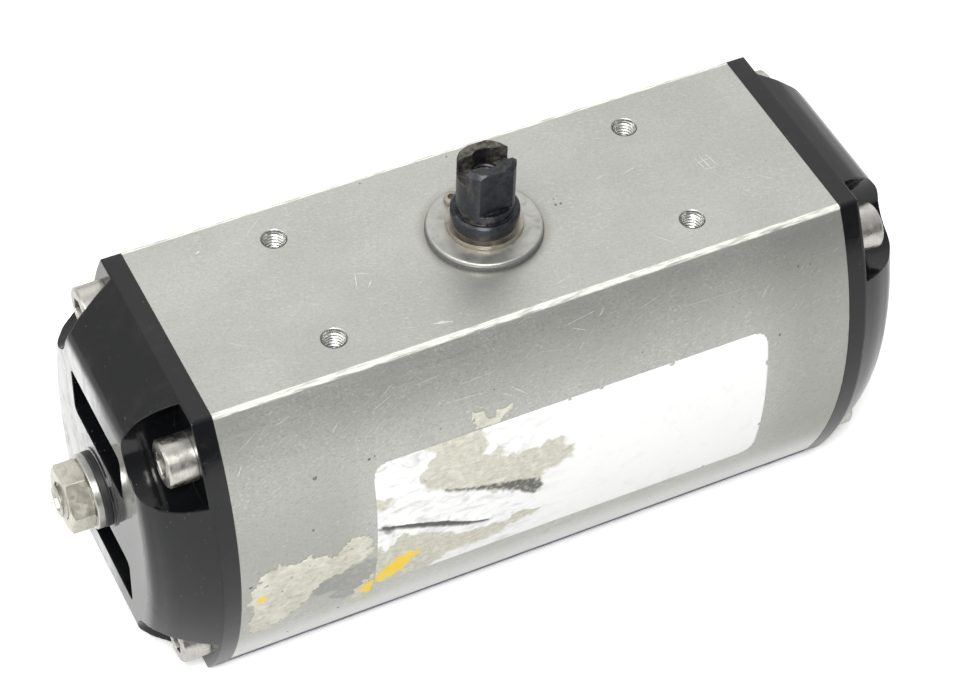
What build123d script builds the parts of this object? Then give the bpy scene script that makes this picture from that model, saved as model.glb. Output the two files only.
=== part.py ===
from build123d import *
import os
from math import pi, sin, cos, tan, asin, acos, radians, hypot

# Rack-and-pinion quarter-turn actuator, double acting.
# Origin: centre of the bottom mounting face on the pinion axis.
# +Z runs along the pinion axis towards the slotted shaft end, +X along the cylinder bore,
# +Y is the valve side and -Y the label side.  All lengths in millimetres.

os.makedirs("parts", exist_ok=True)

OVER = 1.0                # how far cutters run past the faces they open
SINK = 0.5                # how far some added solids run into their neighbour

# ---- body: flat top and bottom, arched sides ----------------------------------
BODY_L = 139.0
BODY_H = 78.0
EDGE_HALF = 24.2          # half width where the side arcs meet the top and bottom
WAIST_HALF = 35.1         # half width at mid height
ARC_RISE = WAIST_HALF - EDGE_HALF
SIDE_ARC_R = ((BODY_H / 2) ** 2 + ARC_RISE ** 2) / (2 * ARC_RISE)
TOP_CORNER_R = 0.9
BOTTOM_CORNER_R = 2.5
AXIS_Z = BODY_H / 2       # bore axis height
BORE_R = 31.5
SLIDE_R = BORE_R - 0.05   # parts that fit the bore
END_X = BODY_L / 2        # body end face

# ---- shaft passage ---------------------------------------------------------------
TOP_BORE_R = 10.0
TOP_BORE_Z = 75.0         # shoulder below the narrower mouth
TOP_MOUTH_R = 9.0
TOP_CUT_Z = 60.0          # inside the bore
BOTTOM_BORE_R = 14.0
BOTTOM_CUT_Z = 18.0       # inside the bore
REGISTER_R = 17.5
REGISTER_DEPTH = 3.0

# ---- threaded holes ------------------------------------------------------------
M5_R = 2.5
M6_R = 3.0
NAMUR_DX = 80.0           # accessory pattern on top
NAMUR_DY = 30.0
NAMUR_DEPTH = 8.0
NAMUR_SINK = 0.3          # 45 degree countersink
F05_PCD = 50.0            # flange pattern underneath
F05_DEPTH = 9.0
F05_SINK = 0.4

# ---- rear valve face ---------------------------------------------------------
VALVE_Y = 37.5
VALVE_ROOT_Y = 24.0
VALVE_HALF_X = 37.0
VALVE_HALF_Z = 23.5
VALVE_CORNER_R = 4.0
VALVE_DX = 32.0
VALVE_DZ = 24.0
PORT_X = 12.0
PORT_R = 6.58
PORT_DEPTH = 5.5          # ports and valve screw holes

# ---- air passages ----------------------------------------------------------------
CENTRE_AIR_R = 2.0
CENTRE_AIR_Y = (28.0, 34.0)
CHANNEL_Y = 30.0          # long channel to both end chambers
CHANNEL_Z = 57.0
CHANNEL_R = 1.5
LINK_R = 1.3
LINK_START = (10.0, 34.8, 43.0)

# ---- end caps: x measured from the body end face ----------------------------------
CAP_T = 16.0
CAP_SEAT = 4.4            # seat of the screw heads
CAP_FLANK = [             # x, inset, rounding radius
    (4.0, 0.0, 1.0), (8.6, 2.1, 20.0), (12.9, 5.2, 9.0), (16.0, 9.4, 6.0)]
CAP_CORNER_R = 1.2
CAP_SCREW_Y = 22.4
CAP_SCREW_DZ = 28.0
POCKET_R = 10.9
POCKET_Y = 25.9           # the pockets lie a little outside their screws
POCKET_DZ = 31.0
RECESS_HALF_Y = 13.5
RECESS_DZ_IN = 10.0
RECESS_DZ_OUT = 22.5
RECESS_DEPTH = 5.0
RECESS_CORNER_R = 1.5
SPIGOT_L = 3.0
HOLLOW_R_IN = 9.0
HOLLOW_R_OUT = 23.5
HOLLOW_DEPTH = 8.0
CAP_GROOVE_X = (-2.3, -0.4)
CAP_GROOVE_R = 29.7
CAP_ORING = (30.60, 0.88)  # centreline radius, section radius
BOSS_R = 8.6
BOSS_T = 0.5
CAP_SCREW_HOLE_R = 3.3
CAP_AIR_X = (-1.0, 3.4)
CAP_LINK_R = 1.0
CAP_LINK_X = 2.2
CAP_LINK_END_R = 22.6     # distance from the bore axis, inside the annular hollow

# ---- cap screws (M6 x 20) -------------------------------------------------------
SCREW_R = 2.98
SCREW_L = 20.0
SCREW_TIP_CHAMFER = 0.6
HEAD_R = 5.0
HEAD_H = 6.0
HEAD_CHAMFER = 0.4
SCREW_HEX_AF = 5.0
SCREW_HEX_DEPTH = 3.0
SCREW_HOLE_R = 3.05
SCREW_HOLE_DEPTH = 18.0

# ---- stop screws (M8): x measured from the body end face -----------------------------
STOP_R = 3.98
STOP_BORE_R = 4.03
STOP_X = (-3.3, 25.9)
STOP_CHAMFER = 0.6
STOP_HEX_AF = 4.0
STOP_HEX_DEPTH = 4.0
SEAL_T = 1.6
SEAL_R = 8.1
SEAL_HOLE_R = 4.05
SEAL_ROUND = 0.3
WASHER_T = 1.6
WASHER_R = 8.0
WASHER_HOLE_R = 4.2
WASHER_CHAMFER = 0.15
NUT_AF = 13.0
NUT_T = 5.1
NUT_HOLE_R = 4.02
NUT_TURN = 20             # degrees
SEAL_X = CAP_T + BOSS_T
WASHER_X = SEAL_X + SEAL_T
NUT_X = WASHER_X + WASHER_T

# ---- gear ------------------------------------------------------------------------
MODULE = 1.25
TEETH = 16
PITCH_R = MODULE * TEETH / 2
TIP_R = PITCH_R + MODULE
ROOT_R = 8.5
SLOPE = radians(20)       # pressure angle
BACKLASH_HALF = 0.03
GEAR_HALF_H = 13.0
GEAR_Z0 = AXIS_Z - GEAR_HALF_H
GEAR_Z1 = AXIS_Z + GEAR_HALF_H
FLANK_RADII = [ROOT_R + 0.02, 8.65, 8.85, 9.1, 9.4, 9.8, 10.2, 10.6, 10.95, TIP_R]
ROLL_LIMIT = 0.9          # gear rotation scanned each way, radians
ROLL_STEP = 0.001

# ---- pinion shaft ------------------------------------------------------------------
PINION_Z0 = 3.1
LOWER_R = 12.0
UPPER_R = 8.0
NECK_R = 7.15
THRUST_TOP = BODY_H + 1.74
BELOW_GEAR = [            # radius, z0, z1
    (13.85, PINION_Z0, 4.1),
    (11.9, 3.9, 6.3),
    (LOWER_R, 6.15, GEAR_Z0)]
ABOVE_GEAR = [
    (UPPER_R, GEAR_Z1 - SINK, 75.4),
    (7.0, 75.3, 77.45),
    (UPPER_R, 77.4, 77.7),
    (NECK_R, 77.6, THRUST_TOP),
    (6.12, BODY_H + 1.6, BODY_H + 3.1),
    (6.6, BODY_H + 3.0, BODY_H + 5.05)]
COLLAR_Z = (BODY_H + 5.0, BODY_H + 6.9)
COLLAR_CHAMFER = 0.5
SHAFT_R = 6.0
SHAFT_Z0 = BODY_H + 6.8
SHAFT_TOP = BODY_H + 20.0
SHAFT_CHAMFER = 0.9
FLATS_AF = 9.5
FLATS_Z0 = BODY_H + 9.0
SHAFT_CUT = 10.0          # half length of the slot and flat cutters
FLATS_CUT_Y = 12.0
SLOT_W = 4.0
SLOT_D = 4.0
SHAFT_HOLE_DEPTH = 14.0
DRIVE_AF = 11.0
DRIVE_DEPTH = 14.0

# ---- pinion bushes, seals and axial retention ------------------------------------------
BOTTOM_ORING = (12.93, 0.98, 5.12)   # centreline radius, section radius, z
TOP_ORING = (8.0, 0.96, 76.4)
BUSH_OUTER_GAP = 0.03
BUSH_INNER_GAP = 0.05
BOTTOM_BUSH_Z = (6.3, 11.0)
TOP_BUSH_Z = (70.6, TOP_BORE_Z - 0.05)
BEARING_R = 12.2
BEARING_HOLE_R = 7.3
BEARING_T = 0.7
THRUST_R = 12.0
THRUST_HOLE_R = 7.25
THRUST_Z0 = BODY_H + 0.72
THRUST_ROUND = 0.45
CLIP_Z = (BODY_H + 1.78, BODY_H + 2.88)
CLIP_R = 8.0
CLIP_HOLE_R = 6.2
CLIP_GAP_HALF = 1.3
CLIP_GAP_Y = (2.0, 14.0)
EAR_ANGLES = [radians(90 - 21), radians(90 + 21)]
EAR_R = 1.75
EAR_AT = 9.0
EAR_HOLE_R = 0.85
EAR_HOLE_AT = 9.2

# ---- left piston: rack on its +Y arm -------------------------------------------------
PISTON_OUT_X = -49.8
PISTON_IN_X = -35.8
PISTON_R = 31.2
PISTON_HOLLOW_R = (24.0, 9.0)
PISTON_HOLLOW_DEPTH = 7.0
BAND_GROOVE_X = (-42.4, -37.4)
BAND_GROOVE_R = 29.7
BAND_R_IN = 29.72
BAND_SLIT_HALF = 0.25
BAND_SLIT_Z = (60, 80)
SEAL_GROOVE_X = (-47.3, -44.3)
SEAL_GROOVE_R = 29.0
PISTON_ORING = (30.25, 1.21)  # centreline radius, section radius
GROOVE_CUT_R = 40.0       # outside every groove
RACK_START = -37.0
RACK_END = 24.0
RACK_HALF_H = 11.5
RACK_Z0 = AXIS_Z - RACK_HALF_H
RACK_Z1 = AXIS_Z + RACK_HALF_H
RACK_TIP_Y = PITCH_R - MODULE
RACK_ROOT_Y = PITCH_R + 1.25 * MODULE
RACK_TOOTH_SINK = 0.4
ARM_R = 31.0
ARM_BLANK_Y = 33.0
GUIDE_X = (4.0, 20.0)     # guide pad in the back of the rack arm
GUIDE_HALF_H = 7.0
GUIDE_POCKET_R = 29.0
GUIDE_R_IN = 29.02
SIDE_GAP = 0.05           # at the sides of guide pads and bands
GUIDE_CUT_Y = 40.0

# ---- label ---------------------------------------------------------------------------
LABEL_X = (-39.75, 49.9)
LABEL_Z = (19.95, 57.8)
LABEL_CORNER_R = 3.0
LABEL_LIFT = (0.02, 0.17)  # inner and outer face, from the body side
LABEL_CUT_X = 60.0
LABEL_BLANK_Y = -45.0


# ------------------------------------------------------------------ helpers
def cyl_x(r, xa, xb, y=0.0, z=AXIS_Z):
    return Pos((xa + xb) / 2, y, z) * Rot(0, 90, 0) * Cylinder(r, abs(xb - xa))


def cyl_y(r, ya, yb, x, z):
    return Pos(x, (ya + yb) / 2, z) * Rot(90, 0, 0) * Cylinder(r, abs(yb - ya))


def cyl_z(r, za, zb, x=0.0, y=0.0):
    return Pos(x, y, (za + zb) / 2) * Cylinder(r, abs(zb - za))


def tube_x(r_out, r_in, xa, xb, y=0.0):
    return cyl_x(r_out, xa, xb, y) - cyl_x(r_in, xa - OVER, xb + OVER, y)


def tube_z(r_out, r_in, za, zb):
    return cyl_z(r_out, za, zb) - cyl_z(r_in, za - OVER, zb + OVER)


def box(xa, xb, ya, yb, za, zb):
    centre = Pos((xa + xb) / 2, (ya + yb) / 2, (za + zb) / 2)
    return centre * Box(abs(xb - xa), abs(yb - ya), abs(zb - za))


def rod(r, start, end):
    start, end = Vector(*start), Vector(*end)
    along = end - start
    return Plane(origin=(start + end) * 0.5, z_dir=along) * Cylinder(r, along.length)


def hex_x(across_flats, x, length, y=0.0, z=AXIS_Z, turn=0):
    """Hexagonal prism running from x towards +X."""
    outline = RegularPolygon(across_flats / 2, 6, major_radius=False, rotation=turn)
    return Pos(x, y, z) * Rot(0, 90, 0) * extrude(outline, amount=length)


def ring_z(centre_r, section_r, z):
    return Pos(0, 0, z) * Torus(centre_r, section_r)


def ring_x(centre_r, section_r, x):
    return Pos(x, 0, AXIS_Z) * Rot(0, 90, 0) * Torus(centre_r, section_r)


def corners(half_a, half_b, centre_b=0.0):
    """The four corners of a rectangle."""
    return [(sa * half_a, centre_b + sb * half_b) for sa in (-1, 1) for sb in (-1, 1)]


def half_turn(shape):
    return Rot(0, 0, 180) * shape


SCREW_POINTS = corners(CAP_SCREW_Y, CAP_SCREW_DZ, AXIS_Z)     # y, z
POCKET_POINTS = corners(POCKET_Y, POCKET_DZ, AXIS_Z)


def body_section(top_r, bottom_r):
    with BuildSketch(Plane.YZ) as outline:
        with BuildLine():
            Line((-EDGE_HALF, 0), (EDGE_HALF, 0))
            ThreePointArc((EDGE_HALF, 0), (WAIST_HALF, BODY_H / 2), (EDGE_HALF, BODY_H))
            Line((EDGE_HALF, BODY_H), (-EDGE_HALF, BODY_H))
            ThreePointArc((-EDGE_HALF, BODY_H), (-WAIST_HALF, BODY_H / 2), (-EDGE_HALF, 0))
        make_face()
        fillet(outline.vertices().group_by(Axis.Y)[-1], top_r)
        fillet(outline.vertices().group_by(Axis.Y)[0], bottom_r)
    return outline.sketch


# ------------------------------------------------------------------ body housing
def make_body():
    body = extrude(body_section(TOP_CORNER_R, BOTTOM_CORNER_R), amount=END_X, both=True)
    valve_pad = box(-VALVE_HALF_X, VALVE_HALF_X, VALVE_ROOT_Y, VALVE_Y,
                    AXIS_Z - VALVE_HALF_Z, AXIS_Z + VALVE_HALF_Z)
    body += fillet(valve_pad.edges().filter_by(Axis.Y), VALVE_CORNER_R)
    body -= cyl_x(BORE_R, -END_X - OVER, END_X + OVER)
    # shaft passage, top then bottom, and register recess
    body -= cyl_z(TOP_BORE_R, TOP_CUT_Z, TOP_BORE_Z)
    body -= cyl_z(TOP_MOUTH_R, TOP_CUT_Z, BODY_H + OVER)
    body -= cyl_z(BOTTOM_BORE_R, -OVER, BOTTOM_CUT_Z)
    body -= cyl_z(REGISTER_R, -OVER, REGISTER_DEPTH)
    # accessory holes in the top
    for x, y in corners(NAMUR_DX / 2, NAMUR_DY / 2):
        body -= cyl_z(M5_R, BODY_H - NAMUR_DEPTH, BODY_H + OVER, x, y)
        body -= Pos(x, y, BODY_H - NAMUR_SINK / 2) * Cone(M5_R, M5_R + NAMUR_SINK, NAMUR_SINK)
    # flange holes in the bottom
    flange_half = F05_PCD / 2 * cos(pi / 4)
    for x, y in corners(flange_half, flange_half):
        body -= cyl_z(M6_R, -OVER, F05_DEPTH, x, y)
        body -= Pos(x, y, F05_SINK / 2) * Cone(M6_R + F05_SINK, M6_R, F05_SINK)
    for y, z in SCREW_POINTS:
        for side in (-1, 1):
            body -= cyl_x(SCREW_HOLE_R, side * (END_X - SCREW_HOLE_DEPTH),
                          side * (END_X + OVER), y, z)
    # valve face
    for x, z in corners(VALVE_DX / 2, VALVE_DZ / 2, AXIS_Z):
        body -= cyl_y(M5_R, VALVE_Y - PORT_DEPTH, VALVE_Y + OVER, x, z)
    for x in (-PORT_X, PORT_X):
        body -= cyl_y(PORT_R, VALVE_Y - PORT_DEPTH, VALVE_Y + OVER, x, AXIS_Z)
    # one port feeds the centre chamber, the other both end chambers
    body -= cyl_y(CENTRE_AIR_R, *CENTRE_AIR_Y, -PORT_X, AXIS_Z)
    body -= cyl_x(CHANNEL_R, -END_X - OVER, END_X + OVER, CHANNEL_Y, CHANNEL_Z)
    return body - rod(LINK_R, LINK_START, (LINK_START[0], CHANNEL_Y, CHANNEL_Z))


# ------------------------------------------------------------------ end caps
def flank_profile(outline, lowest):
    """Closed XZ outline, with its flank points above height `lowest` rounded."""
    with BuildSketch(Plane.XZ) as profile:
        with BuildLine():
            Polyline(*outline, close=True)
        make_face()
        for x, _, radius in CAP_FLANK:
            fillet([v for v in profile.vertices()
                    if abs(v.X - x) < 0.01 and v.Y > lowest], radius)
    return profile.sketch


def cap_blank():
    """Block whose flanks curve in from the flange wall and roll over into the end face."""
    low = [(x, inset) for x, inset, _ in CAP_FLANK]
    high = [(x, BODY_H - inset) for x, inset, _ in reversed(CAP_FLANK)]
    side_view = flank_profile([(0, 0)] + low + high + [(0, BODY_H)], lowest=-1)
    blank = extrude(side_view, amount=60, both=True)
    turned_flank = [(x, SIDE_ARC_R - inset) for x, inset, _ in reversed(CAP_FLANK)]
    half_view = flank_profile([(0, 0), (CAP_T, 0)] + turned_flank + [(0, SIDE_ARC_R)], lowest=1)
    turned = revolve(half_view, Axis.X, 360)
    for side in (-1, 1):
        blank = blank & Pos(0, side * (WAIST_HALF - SIDE_ARC_R), AXIS_Z) * turned
    return blank


def make_cap_right():
    cap = cap_blank() & extrude(body_section(CAP_CORNER_R, BOTTOM_CORNER_R), amount=CAP_T)
    for y, z in POCKET_POINTS:
        cap -= cyl_x(POCKET_R, CAP_SEAT, CAP_T + OVER, y, z)
    # recesses in the end face, below and above the boss
    for side in (-1, 1):
        recess = box(CAP_T - RECESS_DEPTH, CAP_T + OVER, -RECESS_HALF_Y, RECESS_HALF_Y,
                     AXIS_Z + side * RECESS_DZ_IN, AXIS_Z + side * RECESS_DZ_OUT)
        cap -= fillet(recess.edges().filter_by(Axis.X), RECESS_CORNER_R)
    cap += cyl_x(BOSS_R, CAP_T - 1.0, CAP_T + BOSS_T)
    cap += cyl_x(SLIDE_R, -SPIGOT_L, 1.0)
    cap -= tube_x(HOLLOW_R_OUT, HOLLOW_R_IN, -SPIGOT_L - OVER, HOLLOW_DEPTH)
    cap -= tube_x(GROOVE_CUT_R, CAP_GROOVE_R, *CAP_GROOVE_X)
    cap -= cyl_x(STOP_BORE_R, -SPIGOT_L - OVER, CAP_T + BOSS_T + OVER)
    for y, z in SCREW_POINTS:
        cap -= cyl_x(CAP_SCREW_HOLE_R, -OVER, CAP_SEAT + OVER, y, z)
    # air passage from the body channel, then radially inwards to the hollow
    cap -= cyl_x(CHANNEL_R, *CAP_AIR_X, CHANNEL_Y, CHANNEL_Z)
    rise = CHANNEL_Z - AXIS_Z
    shrink = CAP_LINK_END_R / hypot(CHANNEL_Y, rise)
    cap -= rod(CAP_LINK_R, (CAP_LINK_X, CHANNEL_Y, CHANNEL_Z),
               (CAP_LINK_X, CHANNEL_Y * shrink, AXIS_Z + rise * shrink))
    return Pos(END_X, 0, 0) * cap


def make_cap_screw(y, z):
    head_top = CAP_SEAT + HEAD_H
    shank = cyl_x(SCREW_R, CAP_SEAT - SCREW_L, CAP_SEAT + SINK, y, z)
    head = cyl_x(HEAD_R, CAP_SEAT, head_top, y, z)
    head = chamfer(head.edges().group_by(Axis.X)[-1], HEAD_CHAMFER)
    screw = chamfer(shank.edges().group_by(Axis.X)[0], SCREW_TIP_CHAMFER) + head
    screw -= hex_x(SCREW_HEX_AF, head_top - SCREW_HEX_DEPTH, SCREW_HEX_DEPTH + OVER, y, z)
    return Pos(END_X, 0, 0) * screw


# ------------------------------------------------------------------ stop screw set
def make_stop_nut():
    corner_r = NUT_AF / 2 / cos(pi / 6)
    envelope = cyl_x(corner_r + 0.02, NUT_X, NUT_X + NUT_T)
    envelope = chamfer(envelope.edges().filter_by(GeomType.CIRCLE), length=0.5, length2=0.85)
    nut = hex_x(NUT_AF, NUT_X, NUT_T, turn=NUT_TURN) & envelope
    nut -= cyl_x(NUT_HOLE_R, NUT_X - OVER, NUT_X + NUT_T + OVER)
    return Pos(END_X, 0, 0) * nut


def make_stop_washer():
    disc = cyl_x(WASHER_R, WASHER_X, NUT_X)
    disc = chamfer(disc.edges().filter_by(GeomType.CIRCLE), WASHER_CHAMFER)
    return Pos(END_X, 0, 0) * (disc - cyl_x(WASHER_HOLE_R, WASHER_X - OVER, NUT_X + OVER))


def make_stop_seal():
    disc = cyl_x(SEAL_R, SEAL_X, WASHER_X)
    disc = fillet(disc.edges().filter_by(GeomType.CIRCLE), SEAL_ROUND)
    return Pos(END_X, 0, 0) * (disc - cyl_x(SEAL_HOLE_R, SEAL_X - OVER, WASHER_X + OVER))


def make_stop_screw():
    screw = cyl_x(STOP_R, *STOP_X)
    screw = chamfer(screw.edges().filter_by(GeomType.CIRCLE), STOP_CHAMFER)
    screw -= hex_x(STOP_HEX_AF, STOP_X[1] - STOP_HEX_DEPTH, STOP_HEX_DEPTH + OVER)
    return Pos(END_X, 0, 0) * screw


# ------------------------------------------------------------------ pinion
def space_half_angle(radius):
    """Half angle of the tooth space at radius, swept by a straight-sided rack cutter."""
    half_width = pi * MODULE / 4 + BACKLASH_HALF
    tip_half_width = half_width + (ROOT_R - PITCH_R) * tan(SLOPE)
    widest = 0.0
    roll = -ROLL_LIMIT
    while roll <= ROLL_LIMIT:
        shift = PITCH_R * roll
        sine = (shift + half_width - PITCH_R * tan(SLOPE)) * cos(SLOPE) / radius
        if abs(sine) < 1.0:
            angle = SLOPE + asin(sine)
            in_cut = True
            if radius * cos(angle) < ROOT_R:    # past the cutter's tip line
                angle = acos(ROOT_R / radius)
                reach = radius * sin(angle)
                in_cut = shift - tip_half_width <= reach <= shift + tip_half_width
            if in_cut:
                widest = max(widest, angle - roll)
        roll += ROLL_STEP
    return widest


def gear_face():
    flank = [(r, pi / TEETH - space_half_angle(r)) for r in FLANK_RADII]
    points = []
    for i in range(TEETH):
        centre = pi / 2 + 2 * pi * i / TEETH
        points += [(r * cos(centre - a), r * sin(centre - a)) for r, a in flank]
        points += [(r * cos(centre + a), r * sin(centre + a)) for r, a in reversed(flank)]
    return make_face(Polyline(*points, close=True))


def make_pinion():
    pinion = cyl_z(*BELOW_GEAR[0])
    for step in BELOW_GEAR[1:]:
        pinion += cyl_z(*step)
    gear = extrude(gear_face(), amount=GEAR_Z1 - GEAR_Z0 + SINK)
    pinion += Pos(0, 0, GEAR_Z0 - SINK) * gear
    for step in ABOVE_GEAR:
        pinion += cyl_z(*step)
    collar = cyl_z(NECK_R, *COLLAR_Z)
    pinion += chamfer(collar.edges().group_by(Axis.Z)[-1], COLLAR_CHAMFER)
    # shaft end with two flats, a slot and a threaded hole
    shaft = cyl_z(SHAFT_R, SHAFT_Z0, SHAFT_TOP)
    shaft = chamfer(shaft.edges().group_by(Axis.Z)[-1], SHAFT_CHAMFER)
    for side in (-1, 1):
        shaft -= box(-SHAFT_CUT, SHAFT_CUT, side * FLATS_AF / 2, side * FLATS_CUT_Y,
                     FLATS_Z0, SHAFT_TOP + OVER)
    pinion += shaft
    pinion -= box(-SHAFT_CUT, SHAFT_CUT, -SLOT_W / 2, SLOT_W / 2,
                  SHAFT_TOP - SLOT_D, SHAFT_TOP + OVER)
    pinion -= cyl_z(M6_R, SHAFT_TOP - SHAFT_HOLE_DEPTH, SHAFT_TOP + OVER)
    # square drive socket from below
    half = DRIVE_AF / 2
    return pinion - box(-half, half, -half, half, PINION_Z0 - OVER, PINION_Z0 + DRIVE_DEPTH)


def make_bush(bore_r, shaft_r, z_range):
    return tube_z(bore_r - BUSH_OUTER_GAP, shaft_r + BUSH_INNER_GAP, *z_range)


def make_retaining_ring():
    z0, z1 = CLIP_Z
    clip = cyl_z(CLIP_R, z0, z1)
    for a in EAR_ANGLES:
        clip += cyl_z(EAR_R, z0, z1, EAR_AT * cos(a), EAR_AT * sin(a))
    clip -= cyl_z(CLIP_HOLE_R, z0 - OVER, z1 + OVER)
    clip -= box(-CLIP_GAP_HALF, CLIP_GAP_HALF, *CLIP_GAP_Y, z0 - OVER, z1 + OVER)
    for a in EAR_ANGLES:
        clip -= cyl_z(EAR_HOLE_R, z0 - OVER, z1 + OVER,
                      EAR_HOLE_AT * cos(a), EAR_HOLE_AT * sin(a))
    return clip


def make_thrust_washer():
    disc = cyl_z(THRUST_R, THRUST_Z0, THRUST_TOP)
    disc = fillet(disc.edges().group_by(Axis.Z)[-1], THRUST_ROUND)
    return disc - cyl_z(THRUST_HOLE_R, THRUST_Z0 - OVER, THRUST_TOP + OVER)


# ------------------------------------------------------------------ pistons
def rack_tooth(x):
    half_width = pi * MODULE / 4 - BACKLASH_HALF
    tip = half_width - MODULE * tan(SLOPE)
    root = half_width + (RACK_ROOT_Y - PITCH_R) * tan(SLOPE)
    base_y = RACK_ROOT_Y + RACK_TOOTH_SINK
    outline = Polyline(
        (x - tip, RACK_TIP_Y), (x + tip, RACK_TIP_Y), (x + root, RACK_ROOT_Y),
        (x + root, base_y), (x - root, base_y), (x - root, RACK_ROOT_Y), close=True)
    return Pos(0, 0, RACK_Z0) * extrude(make_face(outline), amount=RACK_Z1 - RACK_Z0)


def make_piston_left():
    piston = cyl_x(PISTON_R, PISTON_OUT_X, PISTON_IN_X)
    piston -= tube_x(*PISTON_HOLLOW_R, PISTON_OUT_X - OVER, PISTON_OUT_X + PISTON_HOLLOW_DEPTH)
    piston -= tube_x(GROOVE_CUT_R, BAND_GROOVE_R, *BAND_GROOVE_X)
    piston -= tube_x(GROOVE_CUT_R, SEAL_GROOVE_R, *SEAL_GROOVE_X)
    arm = box(RACK_START, RACK_END, RACK_ROOT_Y, ARM_BLANK_Y, RACK_Z0, RACK_Z1)
    piston += arm & cyl_x(ARM_R, RACK_START - OVER, RACK_END + OVER)
    piston += [rack_tooth((k + 0.5) * pi * MODULE) for k in range(-3, 6)]
    # pocket for the guide pad
    x0, x1 = GUIDE_X[0] - SIDE_GAP, GUIDE_X[1] + SIDE_GAP
    half_height = GUIDE_HALF_H + SIDE_GAP
    pocket = box(x0, x1, 20.0, GUIDE_CUT_Y, AXIS_Z - half_height, AXIS_Z + half_height)
    return piston - (pocket - cyl_x(GUIDE_POCKET_R, x0 - OVER, x1 + OVER))


def make_piston_pad_left():
    x0, x1 = GUIDE_X
    blank = box(x0, x1, 15.0, GUIDE_CUT_Y, AXIS_Z - GUIDE_HALF_H, AXIS_Z + GUIDE_HALF_H)
    pad = blank & cyl_x(SLIDE_R, x0 - OVER, x1 + OVER)
    return pad - cyl_x(GUIDE_R_IN, x0 - OVER, x1 + OVER)


def make_band_left():
    x0, x1 = BAND_GROOVE_X
    band = tube_x(SLIDE_R, BAND_R_IN, x0 + SIDE_GAP, x1 - SIDE_GAP)
    return band - box(x0 - OVER, x1 + OVER, -BAND_SLIT_HALF, BAND_SLIT_HALF, *BAND_SLIT_Z)


# ------------------------------------------------------------------ label
def make_label():
    """Thin sheet that follows the -Y side arc of the body."""
    slab = box(*LABEL_X, LABEL_BLANK_Y, 0, *LABEL_Z)
    slab = fillet(slab.edges().filter_by(Axis.Y), LABEL_CORNER_R)
    inner, outer = LABEL_LIFT
    return slab & tube_x(SIDE_ARC_R + outer, SIDE_ARC_R + inner,
                         -LABEL_CUT_X, LABEL_CUT_X, SIDE_ARC_R - WAIST_HALF)


# ------------------------------------------------------------------ all parts
screws = [make_cap_screw(y, z) for y, z in SCREW_POINTS]
parts = {
    "body_housing": make_body(),
    "cap_screws_right": Compound(children=[s.solid() for s in screws]),
    "cap_screws_left": Compound(children=[half_turn(s).solid() for s in screws]),
    "pinion": make_pinion(),
    "pinion_oring_bottom": ring_z(*BOTTOM_ORING),
    "pinion_oring_top": ring_z(*TOP_ORING),
    "pinion_bush_bottom": make_bush(BOTTOM_BORE_R, LOWER_R, BOTTOM_BUSH_Z),
    "pinion_bush_top": make_bush(TOP_BORE_R, UPPER_R, TOP_BUSH_Z),
    "thrust_bearing": tube_z(BEARING_R, BEARING_HOLE_R, BODY_H, BODY_H + BEARING_T),
    "thrust_washer": make_thrust_washer(),
    "retaining_ring": make_retaining_ring(),
    "rating_label": make_label(),
}

# right-hand parts mirrored to the left
mirrored = {
    "end_cap": make_cap_right(),
    "cap_oring": ring_x(*CAP_ORING, END_X + sum(CAP_GROOVE_X) / 2),
    "stop_screw": make_stop_screw(),
    "stop_nut": make_stop_nut(),
    "stop_washer": make_stop_washer(),
    "stop_seal": make_stop_seal(),
}
for name, shape in mirrored.items():
    parts[name + "_right"] = shape
    parts[name + "_left"] = mirror(shape, about=Plane.YZ)

# left-hand parts turned about the pinion axis to the right
turned = {
    "piston": make_piston_left(),
    "piston_oring": ring_x(*PISTON_ORING, sum(SEAL_GROOVE_X) / 2),
    "piston_guide_band": make_band_left(),
    "piston_pad": make_piston_pad_left(),
}
for name, shape in turned.items():
    parts[name + "_left"] = shape
    parts[name + "_right"] = half_turn(shape)

for name, shape in parts.items():
    export_step(shape, "parts/" + name + ".step")
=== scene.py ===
# A used rack-and-pinion actuator. The housing is long in X with an end cap at either end, the
# pinion shaft stands on the Z axis, and the bowed front face, with a torn label, looks to -Y.
# Sizes are in millimetres and are turned into Blender's metres where meshes are made.
import math, random
import numpy as np
import bpy, bmesh
from mathutils import Matrix, Vector, noise


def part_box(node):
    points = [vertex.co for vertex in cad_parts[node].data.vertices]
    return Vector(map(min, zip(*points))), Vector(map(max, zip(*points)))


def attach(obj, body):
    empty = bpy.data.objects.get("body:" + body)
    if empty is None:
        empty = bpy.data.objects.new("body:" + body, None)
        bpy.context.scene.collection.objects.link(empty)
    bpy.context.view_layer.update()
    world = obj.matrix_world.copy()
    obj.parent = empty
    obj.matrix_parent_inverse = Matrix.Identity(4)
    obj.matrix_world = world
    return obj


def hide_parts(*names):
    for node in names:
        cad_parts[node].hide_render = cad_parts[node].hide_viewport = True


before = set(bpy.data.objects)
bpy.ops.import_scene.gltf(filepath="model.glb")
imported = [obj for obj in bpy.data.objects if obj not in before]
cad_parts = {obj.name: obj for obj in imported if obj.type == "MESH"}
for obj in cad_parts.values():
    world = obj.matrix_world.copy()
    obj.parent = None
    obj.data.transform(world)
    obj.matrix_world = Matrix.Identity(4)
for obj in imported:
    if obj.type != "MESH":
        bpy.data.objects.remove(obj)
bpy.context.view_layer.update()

MM = 0.001
TOP = 78.0                      # top face of the housing, whose foot is at z = 0
AXIS_Z = TOP / 2                # height of the stop screws and of the front arc's centre
ARC_BOW = 10.9                  # how far the front arc bows out over its height
ARC_R = (AXIS_Z ** 2 + ARC_BOW ** 2) / (2 * ARC_BOW)
ARC_Y = ARC_R - 35.1            # centre of the arc, whose foremost line is at y = -35.1
CORNERS = [(i, j) for i in (-1, 1) for j in (-1, 1)]
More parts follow.
